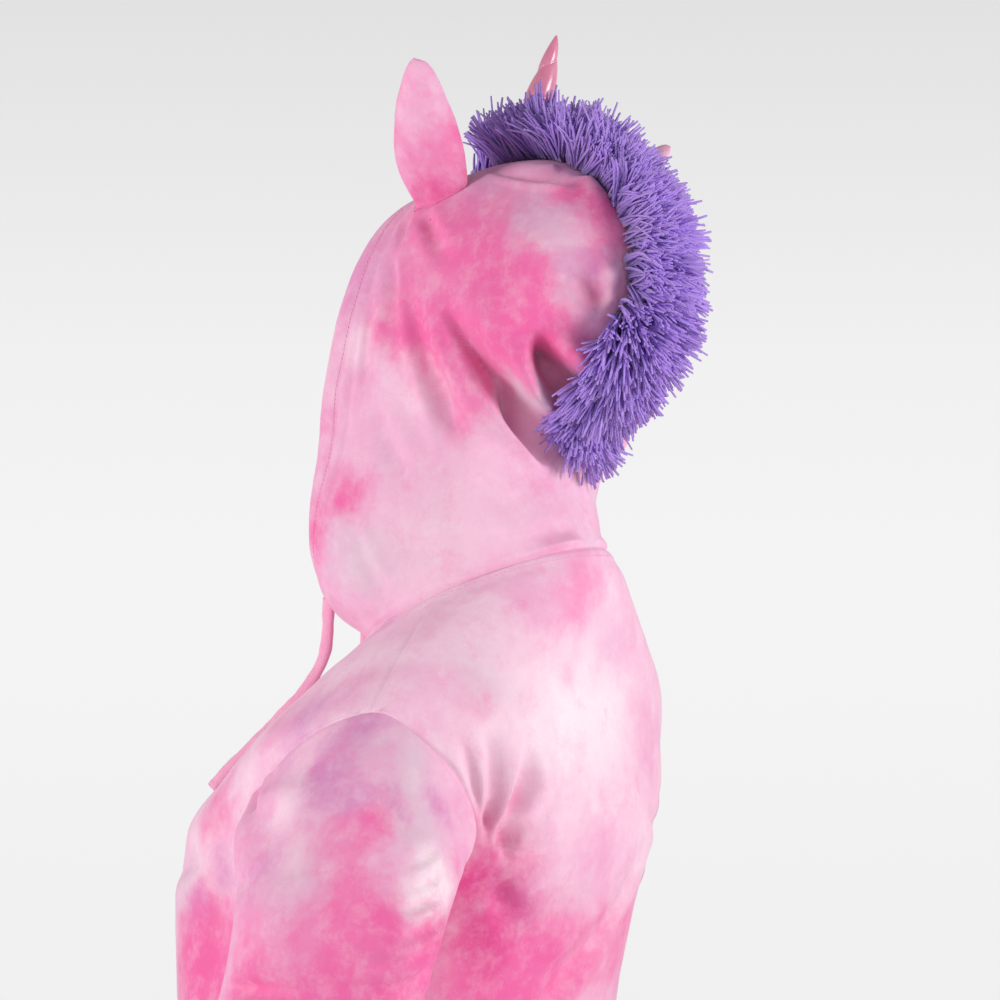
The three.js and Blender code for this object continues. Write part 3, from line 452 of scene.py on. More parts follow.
def cloth_faces(grid, folds=(), wall=CLOTH, ring=False, flip=False, seed=0, relief=0, free=0):
    """Outer and inner grid of a panel: folds, slack and seams moved out.

    Sewn edges stay where they are, so that two panels meet; free is 1 at edges that are rounded off.
    """
    sign = -1 if flip else 1
    normals = sign * grid_normals(grid, ring)
    edge = edge_distance(grid, ring)
    shift = smooth(edge / 6) * (fold_shift(grid, normals, folds) + drape(grid, seed))
    shift += seam_relief(grid, edge, seed + 7) + relief
    shaped = grid + shift[..., None] * normals
    normals = sign * grid_normals(shaped, ring)
    lip = np.sqrt(1 - (1 - np.clip(edge / (0.6 * wall), 0, 1)) ** 2)
    sunk = wall / 2 * (1 - lip) * free
    return shaped - sunk[..., None] * normals, shaped - (sunk + wall * lip)[..., None] * normals


def grid_quads(index, ring):
    a, b = index[:-1], index[1:]
    if ring:
        corners = (a, np.roll(a, -1, 1), np.roll(b, -1, 1), b)
    else:
        corners = (a[:, :-1], a[:, 1:], b[:, 1:], b[:, :-1])
    return np.stack(corners, axis=-1).reshape(-1, 4)


def new_object(name, points, faces):
    """An object from points in mm and faces, all turned outwards."""
    mesh = bpy.data.meshes.new(name)
    mesh.from_pydata((np.asarray(points) * MM).tolist(), [], [list(map(int, f)) for f in faces])
    mesh.update()
    mesh.shade_smooth()
    made = add_object(name, mesh)
    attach(made, "root")
    return made


def dress(piece, node, material):
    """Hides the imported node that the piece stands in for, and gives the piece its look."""
    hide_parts(node)
    piece.data.materials.append(MATERIALS[material])


def cloth_object(name, faces, ring=False):
    """Closed wall between two grids that meet along the panel's edges."""
    outer, inner = faces
    rows, count = outer.shape[:2]
    outer_index = np.arange(rows * count).reshape(rows, count)
    inner_index = outer_index.copy()
    body = (slice(1, -1), slice(None) if ring else slice(1, -1))
    own = inner[body]
    inner_index[body] = rows * count + np.arange(own[..., 0].size).reshape(own.shape[:2])
    points = np.concatenate([outer.reshape(-1, 3), own.reshape(-1, 3)])
    quads = np.concatenate([grid_quads(outer_index, ring), grid_quads(inner_index, ring)[:, ::-1]])
    if volume(points, quads) < 0:
        quads = quads[:, ::-1]
    return new_object(name, points, quads)


def volume(points, quads):
    a, b, c, d = (points[quads[:, k]] for k in range(4))
    return (a * np.cross(b, c)).sum() + (a * np.cross(c, d)).sum()


def tube(rings):
    """Points and faces of a closed body through rings of points, capped with a fan at each end."""
    rings = np.asarray(rings)
    count, sides = rings.shape[:2]
    index = np.arange(count * sides).reshape(count, sides)
    points = np.concatenate([rings.reshape(-1, 3), [rings[0].mean(0), rings[-1].mean(0)]])
    quads = grid_quads(index, True)
    faces = quads.tolist()
    for ring, hub, turn in ((index[0], count * sides, 1), (index[-1], count * sides + 1, -1)):
        faces += [(hub, *pair[::turn]) for pair in zip(np.roll(ring, -1).tolist(), ring.tolist())]
    if volume(points, quads) < 0:
        faces = [face[::-1] for face in faces]
    return points, faces


def strand_object(name, points):
    """One object from strands of rings of points, each strand closed at both ends."""
    index = np.arange(points[..., 0].size).reshape(points.shape[:3])
    a, b = index[:, :-1], index[:, 1:]
    quads = np.stack([a, np.roll(a, -1, 2), np.roll(b, -1, 2), b], axis=-1).reshape(-1, 4)
    caps = index[:, -1].tolist() + index[:, 0, ::-1].tolist()
    return new_object(name, points.reshape(-1, 3), quads.tolist() + caps)


# ---------------------------------------------------------------- body, hem band

def body_point(angle, w):
    at = {name: curve(BODY["w"], values, w) for name, values in BODY.items()}
    exponent = 2 / at["square"]
    reach = np.where(np.sin(angle) > 0, at["back_y"] - at["side_y"], at["side_y"] - at["front_y"])
    y = at["side_y"] + reach * power(np.sin(angle), exponent)
    x = at["half_width"] * power(np.cos(angle), exponent)
    return np.stack(np.broadcast_arrays(x, y, at["z"] + at["tilt"] * y), axis=-1)


def armhole_ring(turn):
    return ARMHOLE_LOW + (ARMHOLE_HIGH - ARMHOLE_LOW) * (1 + np.cos(turn)) / 2


def armhole_cut(turn, is_back):
    swing = np.abs(np.sin(turn))
    back = ARMHOLE_BACK * swing * (1 - ARMHOLE_SKEW * np.cos(turn))
    return np.where(is_back, back, ARMHOLE_FRONT * swing)


def body_grid(is_back):
    tight = np.array([0, 0.0004, 0.001, 0.002, 0.0035])
    below = np.linspace(0.0055, ARMHOLE_LOW, 56)
    beside = armhole_ring(np.pi * (1 - np.linspace(0, 1, 57)[1:]))
    above = np.linspace(ARMHOLE_HIGH, 1 - 0.0055, 24)[1:]
    w = np.concatenate([tight, below, beside, above, 1 - tight[::-1]])
    place = (w - ARMHOLE_LOW) / (ARMHOLE_HIGH - ARMHOLE_LOW)
    cut = armhole_cut(np.arccos(np.clip(2 * place - 1, -1, 1)), is_back)[:, None]
    start = 0 if is_back else np.pi
    angle = start + cut + (np.pi - 2 * cut) * edged(136, 480)
    return body_point(angle, w[:, None])


def neck_tape(grid):
    """The neck seam is taped: a strip under it stands up a little and ends in a sewn line."""
    run = arc(grid)
    below = run[-1:] - run
    stands = 0.9 * smooth((TAPE + 0.5 - below) / 1.5)
    return (stands - 0.9 * hump(below - TAPE - 1, 1.3)) * smooth(below / 3)


def make_body():
    for name in ("front", "back"):
        grid = body_grid(name == "back")
        faces = cloth_faces(grid, BODY_FOLDS, seed=20, relief=neck_tape(grid))
        panel = cloth_object(name + "_panel", faces)
        dress(panel, name, "body")
        OUTER[name] = faces[0]


def ribbed(ring_points, axis_steps, ribs, inset, depth=0.55):
    """Grid of a knitted band: rings of points moved along axis_steps, its ribs raised."""
    centre = ring_points.mean(0)
    outwards = unit(ring_points - centre)
    wave = np.cos(2 * np.pi * ribs * np.linspace(0, 1, len(ring_points), endpoint=False))
    ring = ring_points - inset * outwards
    shares = np.linspace(0, 1, len(axis_steps))[:, None]
    relief = depth * power(wave, 0.7) * np.minimum(1, 12 * np.minimum(shares, 1 - shares))
    puff = 1.6 * np.sin(np.pi * shares) ** 0.6
    return ring[None] + axis_steps[:, None] + (relief + puff)[..., None] * outwards[None]


def make_hem_band():
    ribs = 250
    ring = body_point(2 * np.pi * np.linspace(0, 1, ribs * 4, endpoint=False), 0.0)
    drop = -(SEAM + HEM_BAND * edged(8, HEM_BAND))
    steps = np.stack([np.zeros_like(drop), np.zeros_like(drop), drop], axis=-1)
    grid = ribbed(ring, steps, ribs, BAND_INSET)
    faces = cloth_faces(grid, wall=BAND, ring=True, seed=30, free=1)
    band = cloth_object("hem_rib", faces, ring=True)
    dress(band, "hem_band", "rib")


# ---------------------------------------------------------------- sleeves and cuffs

def armhole_loop(turn):
    is_back = np.sin(turn) > 0
    return body_point(armhole_cut(turn, is_back) * np.where(is_back, 1, -1), armhole_ring(turn))


def sleeve_centre(word, s):
    arm = ARMS[word]
    return np.stack([curve(arm["s"], arm[name], s) for name in "xyz"], axis=-1)


def sleeve_frame(word, s):
    """Ways along, outwards and back at s."""
    along = unit(sleeve_centre(word, s + 0.01) - sleeve_centre(word, s - 0.01))
    back = unit(np.array([0, 1, 0]) - along[..., 1:2] * along)
    side = unit(np.cross(back, along))
    side = side * np.where(side[..., :1] < 0, -1, 1)
    return along, side, back


def sleeve_ring(word, s, turn):
    arm = ARMS[word]
    s = np.atleast_1d(s)
    _, side, back = sleeve_frame(word, s)
    across = curve(arm["s"], arm["side"], s)[:, None] * np.cos(turn)
    deep = curve(arm["s"], arm["deep"], s)[:, None] * np.sin(turn)
    ring = across[..., None] * side[:, None] + deep[..., None] * back[:, None]
    return sleeve_centre(word, s)[:, None] + ring


def sleeve_grid(word):
    turn = np.linspace(0, 2 * np.pi, 136, endpoint=False)
    t = np.concatenate([edged(44, 120)[:-5], [1]])[:, None, None]
    top = ((1 + np.cos(turn)) / 2)[:, None]
    start = armhole_loop(turn)
    start = start + 0.05 * unit(start.mean(0) - start)
    end = sleeve_ring(word, SLEEVE_HEAD, turn)[0]
    forward = LEAVE_FORWARD[word] * (1 - top)
    leave = unit(np.concatenate([np.ones_like(top), forward, -0.15 - 0.75 * top], axis=1))
    leave = leave * (38 + 62 * top ** 2)
    step = 0.01
    around = sleeve_ring(word, np.array([SLEEVE_HEAD - step, SLEEVE_HEAD + step]), turn)
    arrive = (around[1] - around[0]) * 0.45 * SLEEVE_HEAD / (2 * step)
    head = ((1 + 2 * t) * (1 - t) ** 2 * start + t * (1 - t) ** 2 * leave
            + t * t * (3 - 2 * t) * end + t * t * (t - 1) * arrive)
    tight = 1 - np.array([0.006, 0.0035, 0.002, 0.0008, 0])
    s = SLEEVE_HEAD + (1 - SLEEVE_HEAD) * np.concatenate([np.linspace(0, 0.99, 84)[1:], tight])
    return np.concatenate([head, sleeve_ring(word, s, turn)])


def mirrored(faces, word):
    side = np.array([1 if word == "left" else -1, 1, 1])
    return tuple(face * side for face in faces)


def make_sleeves():
    for word in ("left", "right"):
        faces = cloth_faces(sleeve_grid(word), SLEEVE_FOLDS[word], ring=True, flip=True, seed=40)
        faces = mirrored(faces, word)
        piece = cloth_object(f"sleeve_{word}_panel", faces, ring=True)
        dress(piece, f"sleeve_{word}", "sleeve")
        make_cuff(word)


def make_cuff(word):
    ribs = 66
    turn = np.linspace(0, 2 * np.pi, ribs * 5, endpoint=False)
    along = sleeve_frame(word, np.array([0.99]))[0][0]
    ring = sleeve_ring(word, 1, turn)[0]
    steps = (SEAM + CUFF * edged(8, CUFF))[:, None] * along
    grid = ribbed(ring, steps, ribs, BAND_INSET)
    faces = mirrored(cloth_faces(grid, wall=BAND, ring=True, flip=True, seed=50, free=1), word)
    cuff = cloth_object(f"cuff_{word}_rib", faces, ring=True)
    dress(cuff, f"cuff_{word}", "rib")


# ---------------------------------------------------------------- hood

def rotated(a, b, angle):
    """Two coordinates after a turn from the first towards the second."""
    c, s = np.cos(angle), np.sin(angle)
    return a * c - b * s, a * s + b * c


def turn_head(points):
    """Moves points of the head's own frame to where the turned head takes them."""
    share = smooth((points[..., 2] - NECK_TILT * points[..., 1]) / TURN_OVER)
    x, y, z = (points[..., k] for k in range(3))
    z, x = rotated(z, x, TURN_ROLL * share)
    y, z = rotated(y, z, TURN_PITCH * share)
    x, y = rotated(x, y, TURN_YAW * share)
    return np.stack([x, y, z], axis=-1)


def row_height(y, *points):
    """Height on a hood row, by a parabola through three points: face edge, side and seam."""
    height = 0
    for k, (own, own_height) in enumerate(points):
        (one, _), (other, _) = points[:k] + points[k + 1:]
        height = height + own_height * (y - one) * (y - other) / ((own - one) * (own - other))
    return height


def hood_row(v, shares):
    at = {name: curve(HOOD["v"], values, v, "free" if name in ("rim_x", "side_x") else "even")
          for name, values in HOOD.items()}
    settled = smooth(v / HOOD_SQUARE["reached"])
    neck = HOOD_SQUARE["neck"]
    front_power, back_power = (2 / (neck + (HOOD_SQUARE[name] - neck) * settled)
                               for name in ("front", "back"))
    angle = np.linspace(0, np.pi / 2, 61)
    front = np.stack([
        at["rim_x"] + (at["side_x"] - at["rim_x"]) * np.sin(angle) ** front_power,
        at["side_y"] + (at["rim_y"] - at["side_y"]) * np.abs(np.cos(angle)) ** front_power,
    ])
    back = np.stack([
        at["side_x"] * np.abs(np.cos(angle)) ** back_power,
        at["side_y"] + (at["seam_y"] - at["side_y"]) * np.sin(angle) ** back_power,
    ])[:, 1:]
    x, y = np.concatenate([front, back], axis=1)
    z = row_height(y, *((at[name + "_y"], at[name + "_z"]) for name in ("rim", "side", "seam")))
    return evenly(np.stack([x, y, z], axis=-1), shares)


def hood_grid():
    v = HOOD_TOP * edged(150, 400)
    return np.stack([hood_row(value, edged(136, 250)) for value in v])


def casing_relief(grid, rim):
    """The face edge is turned over a drawstring: a soft roll, a sewn line and slack creases."""
    height = np.clip((grid[..., 2] - 10) / 60, 0, 1)
    slack = noise(grid * [0.3, 0.3, 1], 60, 61)
    roll = 1.6 * hump(rim - 0.45 * CASING, 0.32 * CASING) - 1.8 * hump(rim - CASING, 1.8)
    beside = 0.8 * hump(rim - CASING - 4.5, 3)
    creases = 1.6 * hump(rim - CASING - 11 - 4 * slack, 3) * smooth(0.5 + slack)
    creases += 1.2 * hump(rim - 0.5 * CASING - 3 * slack, 2.2) * smooth(0.6 - slack)
    return (roll + beside - creases * height) * smooth(rim / 3)


def make_hood():
    grid = hood_grid()
    rim = arc(grid, 1)
    free = hump(rim, 6)
    relief = casing_relief(grid, rim)
    for word, share in HOOD_FOLD_SHARE.items():
        folds = [fold[:9] + [share * fold[9]] + fold[10:] for fold in HOOD_FOLDS]
        faces = cloth_faces(grid, folds, seed=60, relief=relief, free=free)
        faces = mirrored([face + np.array([HALF_GAP, 0, 0]) for face in faces], word)
        turned = tuple(turn_head(face) for face in faces)
        half = cloth_object(f"hood_{word}_panel", turned)
        dress(half, f"hood_{word}", "hood")
        OUTER["hood_" + word] = turned[0]


def hood_tree():
    """Search tree of the hood's outer faces, in mm, with its faces turned outwards."""
    points, faces = [], []
    for word in ("left", "right"):
        outer = OUTER["hood_" + word]
        index = np.arange(outer[..., 0].size).reshape(outer.shape[:2]) + len(points)
        quads = grid_quads(index, False)
        faces += (quads if word == "left" else quads[:, ::-1]).tolist()
        points += outer.reshape(-1, 3).tolist()
    return BVHTree.FromPolygons(points, faces)


def seated(points, lift=0.3, either_side=False):
    """Lays every point that is under the hood's cloth, or on either side of it, on top of it."""
    laid = np.array(points)
    for k, point in enumerate(laid):
        near, normal, _, _ = TREE.find_nearest(point)
        height = (Vector(point) - near).dot(normal)
        if either_side or height < lift:
            laid[k] = near + normal * lift
    return laid


# ---------------------------------------------------------------- ears and horn

def ear_rings(base, tip, across):
    base, tip = np.array(base, float), np.array(tip, float)
    axis = tip - base
    wide = unit(np.array(across))
    thick = unit(np.cross(wide, axis))
    angle = around(STUFFED_SIDES)
    rings = []
    for t in np.concatenate([np.linspace(0, 0.96, 52), [0.975, 0.988, 0.997, 1]]):
        share = curve(EAR_SHAPE["t"], EAR_SHAPE["width"], t)
        round_end = math.sqrt(max(0.0, 1 - max(0, (t - 0.93) / 0.07) ** 2)) * 0.9 + 0.1
        gather = 1 - (0.12 + 0.30 * (np.cos(angle) > 0)) * hump(t, 0.16)
        seam = hump(np.abs(np.sin(angle)), 0.16)
        face = np.sign(np.sin(angle))
        puff = np.sqrt(share) * np.abs(np.sin(angle)) ** 0.8 * face
        dished = EAR["dish"] * np.cos(angle) ** 2 * share
        crease = -2.6 * hump(np.cos(angle) - 0.1, 0.2) * hump(t - 0.02, 0.3) * face
        ring = (base + axis * t
                + wide * (EAR["width"] / 2 * share * gather * np.cos(angle) * (1 + 0.02 * seam))[:, None]
                + thick * ((EAR["thick"] / 2 * puff + crease) * round_end + dished)[:, None])
        rings.append(ring)
    rings = np.array(rings)
    middle = rings.mean(1, keepdims=True)
    wrinkle = 0.5 * noise(rings, 14, 71) + 0.25 * noise(rings, 6, 72)
    return turn_head(rings + wrinkle[..., None] * unit(rings - middle))


def make_ears():
    for name, shape in EARS.items():
        points, faces = tube(ear_rings(**shape))
        ear = new_object(name + "_padded", seated(points), faces)
        dress(ear, name, "ear")


def make_horn():
    base, tip = np.array(HORN["base"], float), np.array(HORN["tip"], float)
    angle = around(STUFFED_SIDES)
    spoke = np.stack([np.cos(angle), np.sin(angle), 0 * angle], -1)
    rings = []
    for t in np.concatenate([np.linspace(0, 0.97, 150), [0.98, 0.988, 0.995, 1]]):
        radius = HORN["radius"] * (1 - t) ** HORN["taper"] + HORN["end"] * math.sqrt(1 - t ** 12)
        turn = angle - 2 * np.pi * HORN["turns"] * t
        winding = np.abs(np.sin(turn / 2)) ** 0.55
        pucker = 0.02 * np.cos(9 * angle + 6 * t) * (1 - winding)
        r = (radius * (0.80 + 0.22 * winding + pucker))[:, None]
        rings.append(base + (tip - base) * t + r * spoke)
    points, faces = tube(turn_head(np.array(rings)))
    horn = new_object("horn_padded", seated(points), faces)
    dress(horn, "horn", "satin")


# ---------------------------------------------------------------- mane

def seam_line(cells):
    """The hood's centre seam from face edge to nape, in the head's own frame."""
    crown = hood_row(HOOD_TOP, np.linspace(0, 1, 41))
    nape = np.array([hood_row(HOOD_TOP * (1 - k / 60), [1.0])[0] for k in range(1, 61)])
    return evenly(np.concatenate([crown, nape[nape[:, 2] > NAPE_Z]]), np.linspace(0, 1, cells + 1))


def seam_frame(share):
    """Point, way along and way out of the cloth at shares of the centre seam."""
    line = seam_line(SEAM_CELLS)
    along = unit(np.gradient(line, axis=0))
    kernel = np.ones(13) / 13
    padded = np.pad(along, ((6, 6), (0, 0)), mode="edge")
    along = unit(np.stack([np.convolve(padded[:, k], kernel, "valid") for k in range(3)], -1))
    place = np.clip(share, 0, 1) * SEAM_CELLS
    point, along = (read_off(place, np.arange(SEAM_CELLS + 1), rows) for rows in (line, along))
    along = unit(along)
    return point, along, unit(np.cross([1, 0, 0], along))


def of_clump(values):
    """One value for each clump, given to all its strands."""
    return np.repeat(values, CLUMP, axis=0)


def strands(tuft):
    """Paths, radii and tones of the yarn of one tuft, clump by clump."""
    rng = np.random.default_rng(tuft["seed"])
    clumps = tuft["clumps"]
    count = clumps * CLUMP
    start, end = tuft["start"], tuft["end"]
    share = of_clump(start + (end - start) * (np.arange(clumps) + rng.random(clumps)) / clumps)
    share = np.clip(share + rng.normal(0, 0.004, count), start, end)
    at = {name: curve(YARN["place"], values, share) for name, values in YARN.items()}
    turn = np.clip(of_clump(rng.random(clumps)) + rng.normal(0, 0.03, count), 0, 1)
    lean = np.radians(at["right"] + (at["left"] - at["right"]) * turn)
    drift = at["droop"] + of_clump(rng.normal(0, 0.30, clumps)) + rng.normal(0, 0.09, count)
    length = at["far"] + (at["near"] - at["far"]) * turn
    length *= of_clump(rng.uniform(0.84, 1.06, clumps)) * rng.uniform(0.90, 1.04, count)
    across = -FAR_ROOT + (at["root"] + FAR_ROOT) * turn + rng.normal(0, 1.6, count)
    tone = np.clip(0.6 * of_clump(rng.random(clumps)) + 0.4 * rng.random(count), 0, 1)

    point, along, out = seam_frame(share)
    sideways = np.array([1.0, 0, 0])
    foot = round_horn(point + sideways * across[:, None] + out * (0.8 - across ** 2 / 140)[:, None])
    way = unit(out * np.cos(lean)[:, None] + sideways * np.sin(lean)[:, None] + along * drift[:, None])
    curl = of_clump(rng.normal(0, 0.10, (clumps, 3))) + rng.normal(0, 0.07, (count, 3)) - [0, 0, 0.12]
    t = YARN_RINGS[:, None]
    path = foot[:, None] + (way[:, None] * t + curl[:, None] * t ** 2) * length[:, None, None]
    radius = YARN_RADIUS * rng.uniform(0.8, 1.15, count)[:, None] * YARN_TAPER
    return turn_head(path), radius, tone


def round_horn(foot):
    """Yarn rooted under the horn moves out beside it."""
    away = foot[:, :2] - np.array(HORN["base"][:2])
    distance = np.linalg.norm(away, axis=1, keepdims=True)
    near = HORN["radius"] + 1
    pushed = away / np.maximum(distance, 0.1) * np.maximum(distance, near)
    return np.concatenate([np.array(HORN["base"][:2]) + pushed, foot[:, 2:]], axis=1)


def make_yarn(name, node):
    path, radius, tone = strands(TUFTS[name])
    count, rings = path.shape[:2]
    rooted = seated(path[:, 0], either_side=True)
    path += (rooted - path[:, 0])[:, None] * (1 - YARN_RINGS)[:, None]
    path = seated(path.reshape(-1, 3), lift=YARN_RADIUS).reshape(path.shape)
    way = unit(path[:, -1] - path[:, 0])
    u = unit(np.cross(way, [0.3, -0.5, 0.8]))
    v = np.cross(u, way)
    angle = around(3) + tone[:, None] * 9
    spoke = np.cos(angle)[..., None] * u[:, None] + np.sin(angle)[..., None] * v[:, None]
    points = path[:, :, None] + radius[..., None, None] * spoke[:, None]
    piece = strand_object(name + "_yarn", points)
    along = np.tile(np.repeat(YARN_RINGS, 3), count)
    for attribute, values in (("tone", np.repeat(tone, rings * 3)), ("reach", along)):
        layer = piece.data.attributes.new(attribute, "FLOAT", "POINT")
        layer.data.foreach_set("value", values.astype(np.float32))
    dress(piece, node, "yarn")


# ---------------------------------------------------------------- drawstrings

def cord_path(route, count=64):
    """Points on a smooth curve through the route."""
    route = np.array(route, float)
    keys = arc(route)
    t = np.linspace(0, keys[-1], count)
    return np.stack([curve(keys, route[:, k], t) for k in range(3)], axis=-1)


def make_drawstring(word):
    path = cord_path(CORD_ROUTES[word])
    along = unit(np.gradient(path, axis=0))
    facing = unit(np.array([0.85 if word == "left" else -0.85, 0.1, 0.5]) + 0 * along)
    side = unit(np.cross(along, facing))
    up = np.cross(side, along)
    angle = around(28)
    across = power(np.cos(angle), 0.85) * CORD_WIDTH / 2
    deep = power(np.sin(angle), 0.95) * CORD_THICK / 2
    waves = [np.sin(np.linspace(first, last, len(path))) for first, last in ((0, 37), (1, 90))]
    swell = 1 + 0.05 * waves[0] + 0.03 * waves[1]
    swell[-4:] *= [1.02, 1.06, 1.08, 1.0]
    rings = (path[:, None] + across[:, None] * side[:, None] * swell[:, None, None]
             + deep[:, None] * up[:, None] * swell[:, None, None])
    hollow = [path[-1] - along[-1] * depth + (rings[-1] - path[-1]) * share
              for depth, share in ((-0.2, 0.86), (0.8, 0.7), (3.5, 0.6), (6, 0.4))]
    points, faces = tube(np.concatenate([rings, hollow]))
    cord = new_object(f"drawstring_{word}_cord", points, faces)
    dress(cord, f"drawstring_{word}", "cord")


# ---------------------------------------------------------------- stitches

def inset_line(grid, edge, distance):
    """Line on a panel at a distance from its left or top edge, with the cloth's ways out."""
    turned = {"left": grid, "top": np.swapaxes(grid, 0, 1)[:, ::-1]}[edge]
    normals = grid_normals(turned, False)
    run = arc(turned, 1)
    line, ways = (np.array([read_off(distance, keys, row) for keys, row in zip(run, rows)])
                  for rows in (turned, normals))
    return line, unit(ways)


def stitches(line, normals, inside, pitch=3.4, length=2.6, thick=0.34):
    """Points of short thread stitches along a line, raised off the side where the point inside is."""
    run = arc(line)
    middles = np.arange(pitch, run[-1] - pitch, pitch)
    normals = normals * np.sign((normals * (line - inside)).sum(-1))[:, None]
    ends = [read_off(middles + share * length, run, line) for share in (-0.5, -0.25, 0.25, 0.5)]
    lift = unit(read_off(middles, run, normals))
    along = unit(ends[-1] - ends[0])
    side = np.cross(along, lift)
    angle = around(4)
    spoke = np.cos(angle)[:, None] * side[:, None] + np.sin(angle)[:, None] * lift[:, None]
    rings = [end[:, None] + lift[:, None] * rise + spoke * thick * fat
             for end, rise, fat in zip(ends, (-0.1, 0.14, 0.14, -0.1), (0.6, 1, 1, 0.6))]
    return np.stack(rings, axis=1)


def make_stitches():
    rows = []
    for name in ("front", "back"):
        rows.append(stitches(*inset_line(OUTER[name], "top", TAPE - 1.5), np.array([0, 0, -150])))
    for word in ("left", "right"):
        line = inset_line(OUTER["hood_" + word], "left", CASING)
        rows.append(stitches(*line, np.array([0, 0, 150])))
    thread = strand_object("topstitching", np.concatenate(rows))
    thread.data.materials.append(MATERIALS["thread"])


# ---------------------------------------------------------------- materials

def rgb(red, green, blue):
    """Linear colour from sRGB values of 0 to 255."""
    shares = [value / 255 for value in (red, green, blue)]
    linear = [c / 12.92 if c <= 0.04045 else ((c + 0.055) / 1.055) ** 2.4 for c in shares]
    return (*linear, 1.0)


# Dye colours; deep and mauve also serve as painted shade in a few blooms, and deep in the nap's hollows.
DYES_AND_SHADES = {
    "white": rgb(250, 236, 240),
    "blush": rgb(246, 208, 226),
    "grey": rgb(226, 194, 212),
    "rose": rgb(240, 184, 212),
    "pink": rgb(236, 156, 196),
    "hot": rgb(241, 106, 168),
    "deep": rgb(226, 76, 144),
    "lilac": rgb(216, 138, 190),
    "mauve": rgb(196, 112, 170),
}

# Where the dye has taken, and in a few blooms painted shade: middle of each bloom, radius, strength and
# dye.
HOOD_BLOOMS = [
    [65, 46, 229, 74, 1.0, "hot"], [49, -3, 259, 44, 0.8, "hot"], [59, 78, 187, 46, 0.9, "hot"],
    [63, 58, 164, 34, 0.9, "hot"], [43, 76, 268, 30, 0.9, "grey"], [45, 88, 240, 26, 0.9, "grey"],
    [45, 92, 214, 22, 0.9, "grey"], [17, 99, 284, 26, 0.9, "hot"], [21, 112, 256, 30, 0.8, "hot"],
    [47, 62, 145, 24, 0.9, "grey"], [56, -45, 202, 36, 1.0, "hot"], [62, -14, 188, 34, 0.8, "hot"],
    [70, 27, 131, 24, 0.8, "hot"], [63, -32, 155, 34, 0.8, "blush"], [37, -85, 231, 34, 0.5, "lilac"],
    [49, -75, 193, 34, 0.8, "blush"], [24, 2, 297, 44, 0.7, "lilac"], [19, 38, 299, 36, 0.6, "pink"],
    [65, -79, 74, 26, 1.0, "hot"], [58, -112, 48, 22, 0.8, "hot"], [76, -67, 33, 34, 0.8, "grey"],
    [81, 7, 52, 40, 0.8, "grey"], [85, 15, 26, 14, 0.6, "hot"], [84, -6, 27, 70, 0.8, "blush"],
    [0, 86, 41, 50, 0.8, "blush"], [79, -55, 27, 40, 0.8, "grey"], [73, 37, 70, 50, 0.6, "blush"],
    [62, -20, 180, 34, 0.9, "hot"], [70, 10, 165, 26, 0.7, "hot"], [66, -2, 195, 34, 0.9, "hot"],
    # The mauve bloom at 33, 108, 230 is painted shade in the hollow beside the mane, not dye.
    [43, -24, 262, 42, 0.9, "hot"], [48, 13, 267, 36, 0.9, "hot"], [33, 108, 230, 20, 0.7, "mauve"],
    [41, 68, 275, 26, 0.6, "lilac"], [12, 92, 288, 26, 1.0, "hot"], [48, 61, 143, 22, 0.8, "grey"],
    [50, -46, 218, 28, 0.8, "hot"], [57, -42, 190, 26, 0.8, "hot"], [56, 78, 190, 30, 1.0, "hot"],
    [62, 62, 205, 40, 0.9, "hot"], [49, 90, 232, 18, 0.6, "lilac"], [69, 29, 142, 26, 0.7, "hot"],
    [78, 30, 92, 60, 0.5, "rose"], [-60, 30, 220, 60, 0.9, "hot"], [-70, -40, 150, 50, 0.7, "lilac"],
    [-80, -20, 80, 46, 0.8, "hot"], [-60, 50, 90, 40, 0.8, "grey"], [-90, -60, 230, 44, 0.7, "pink"],
]
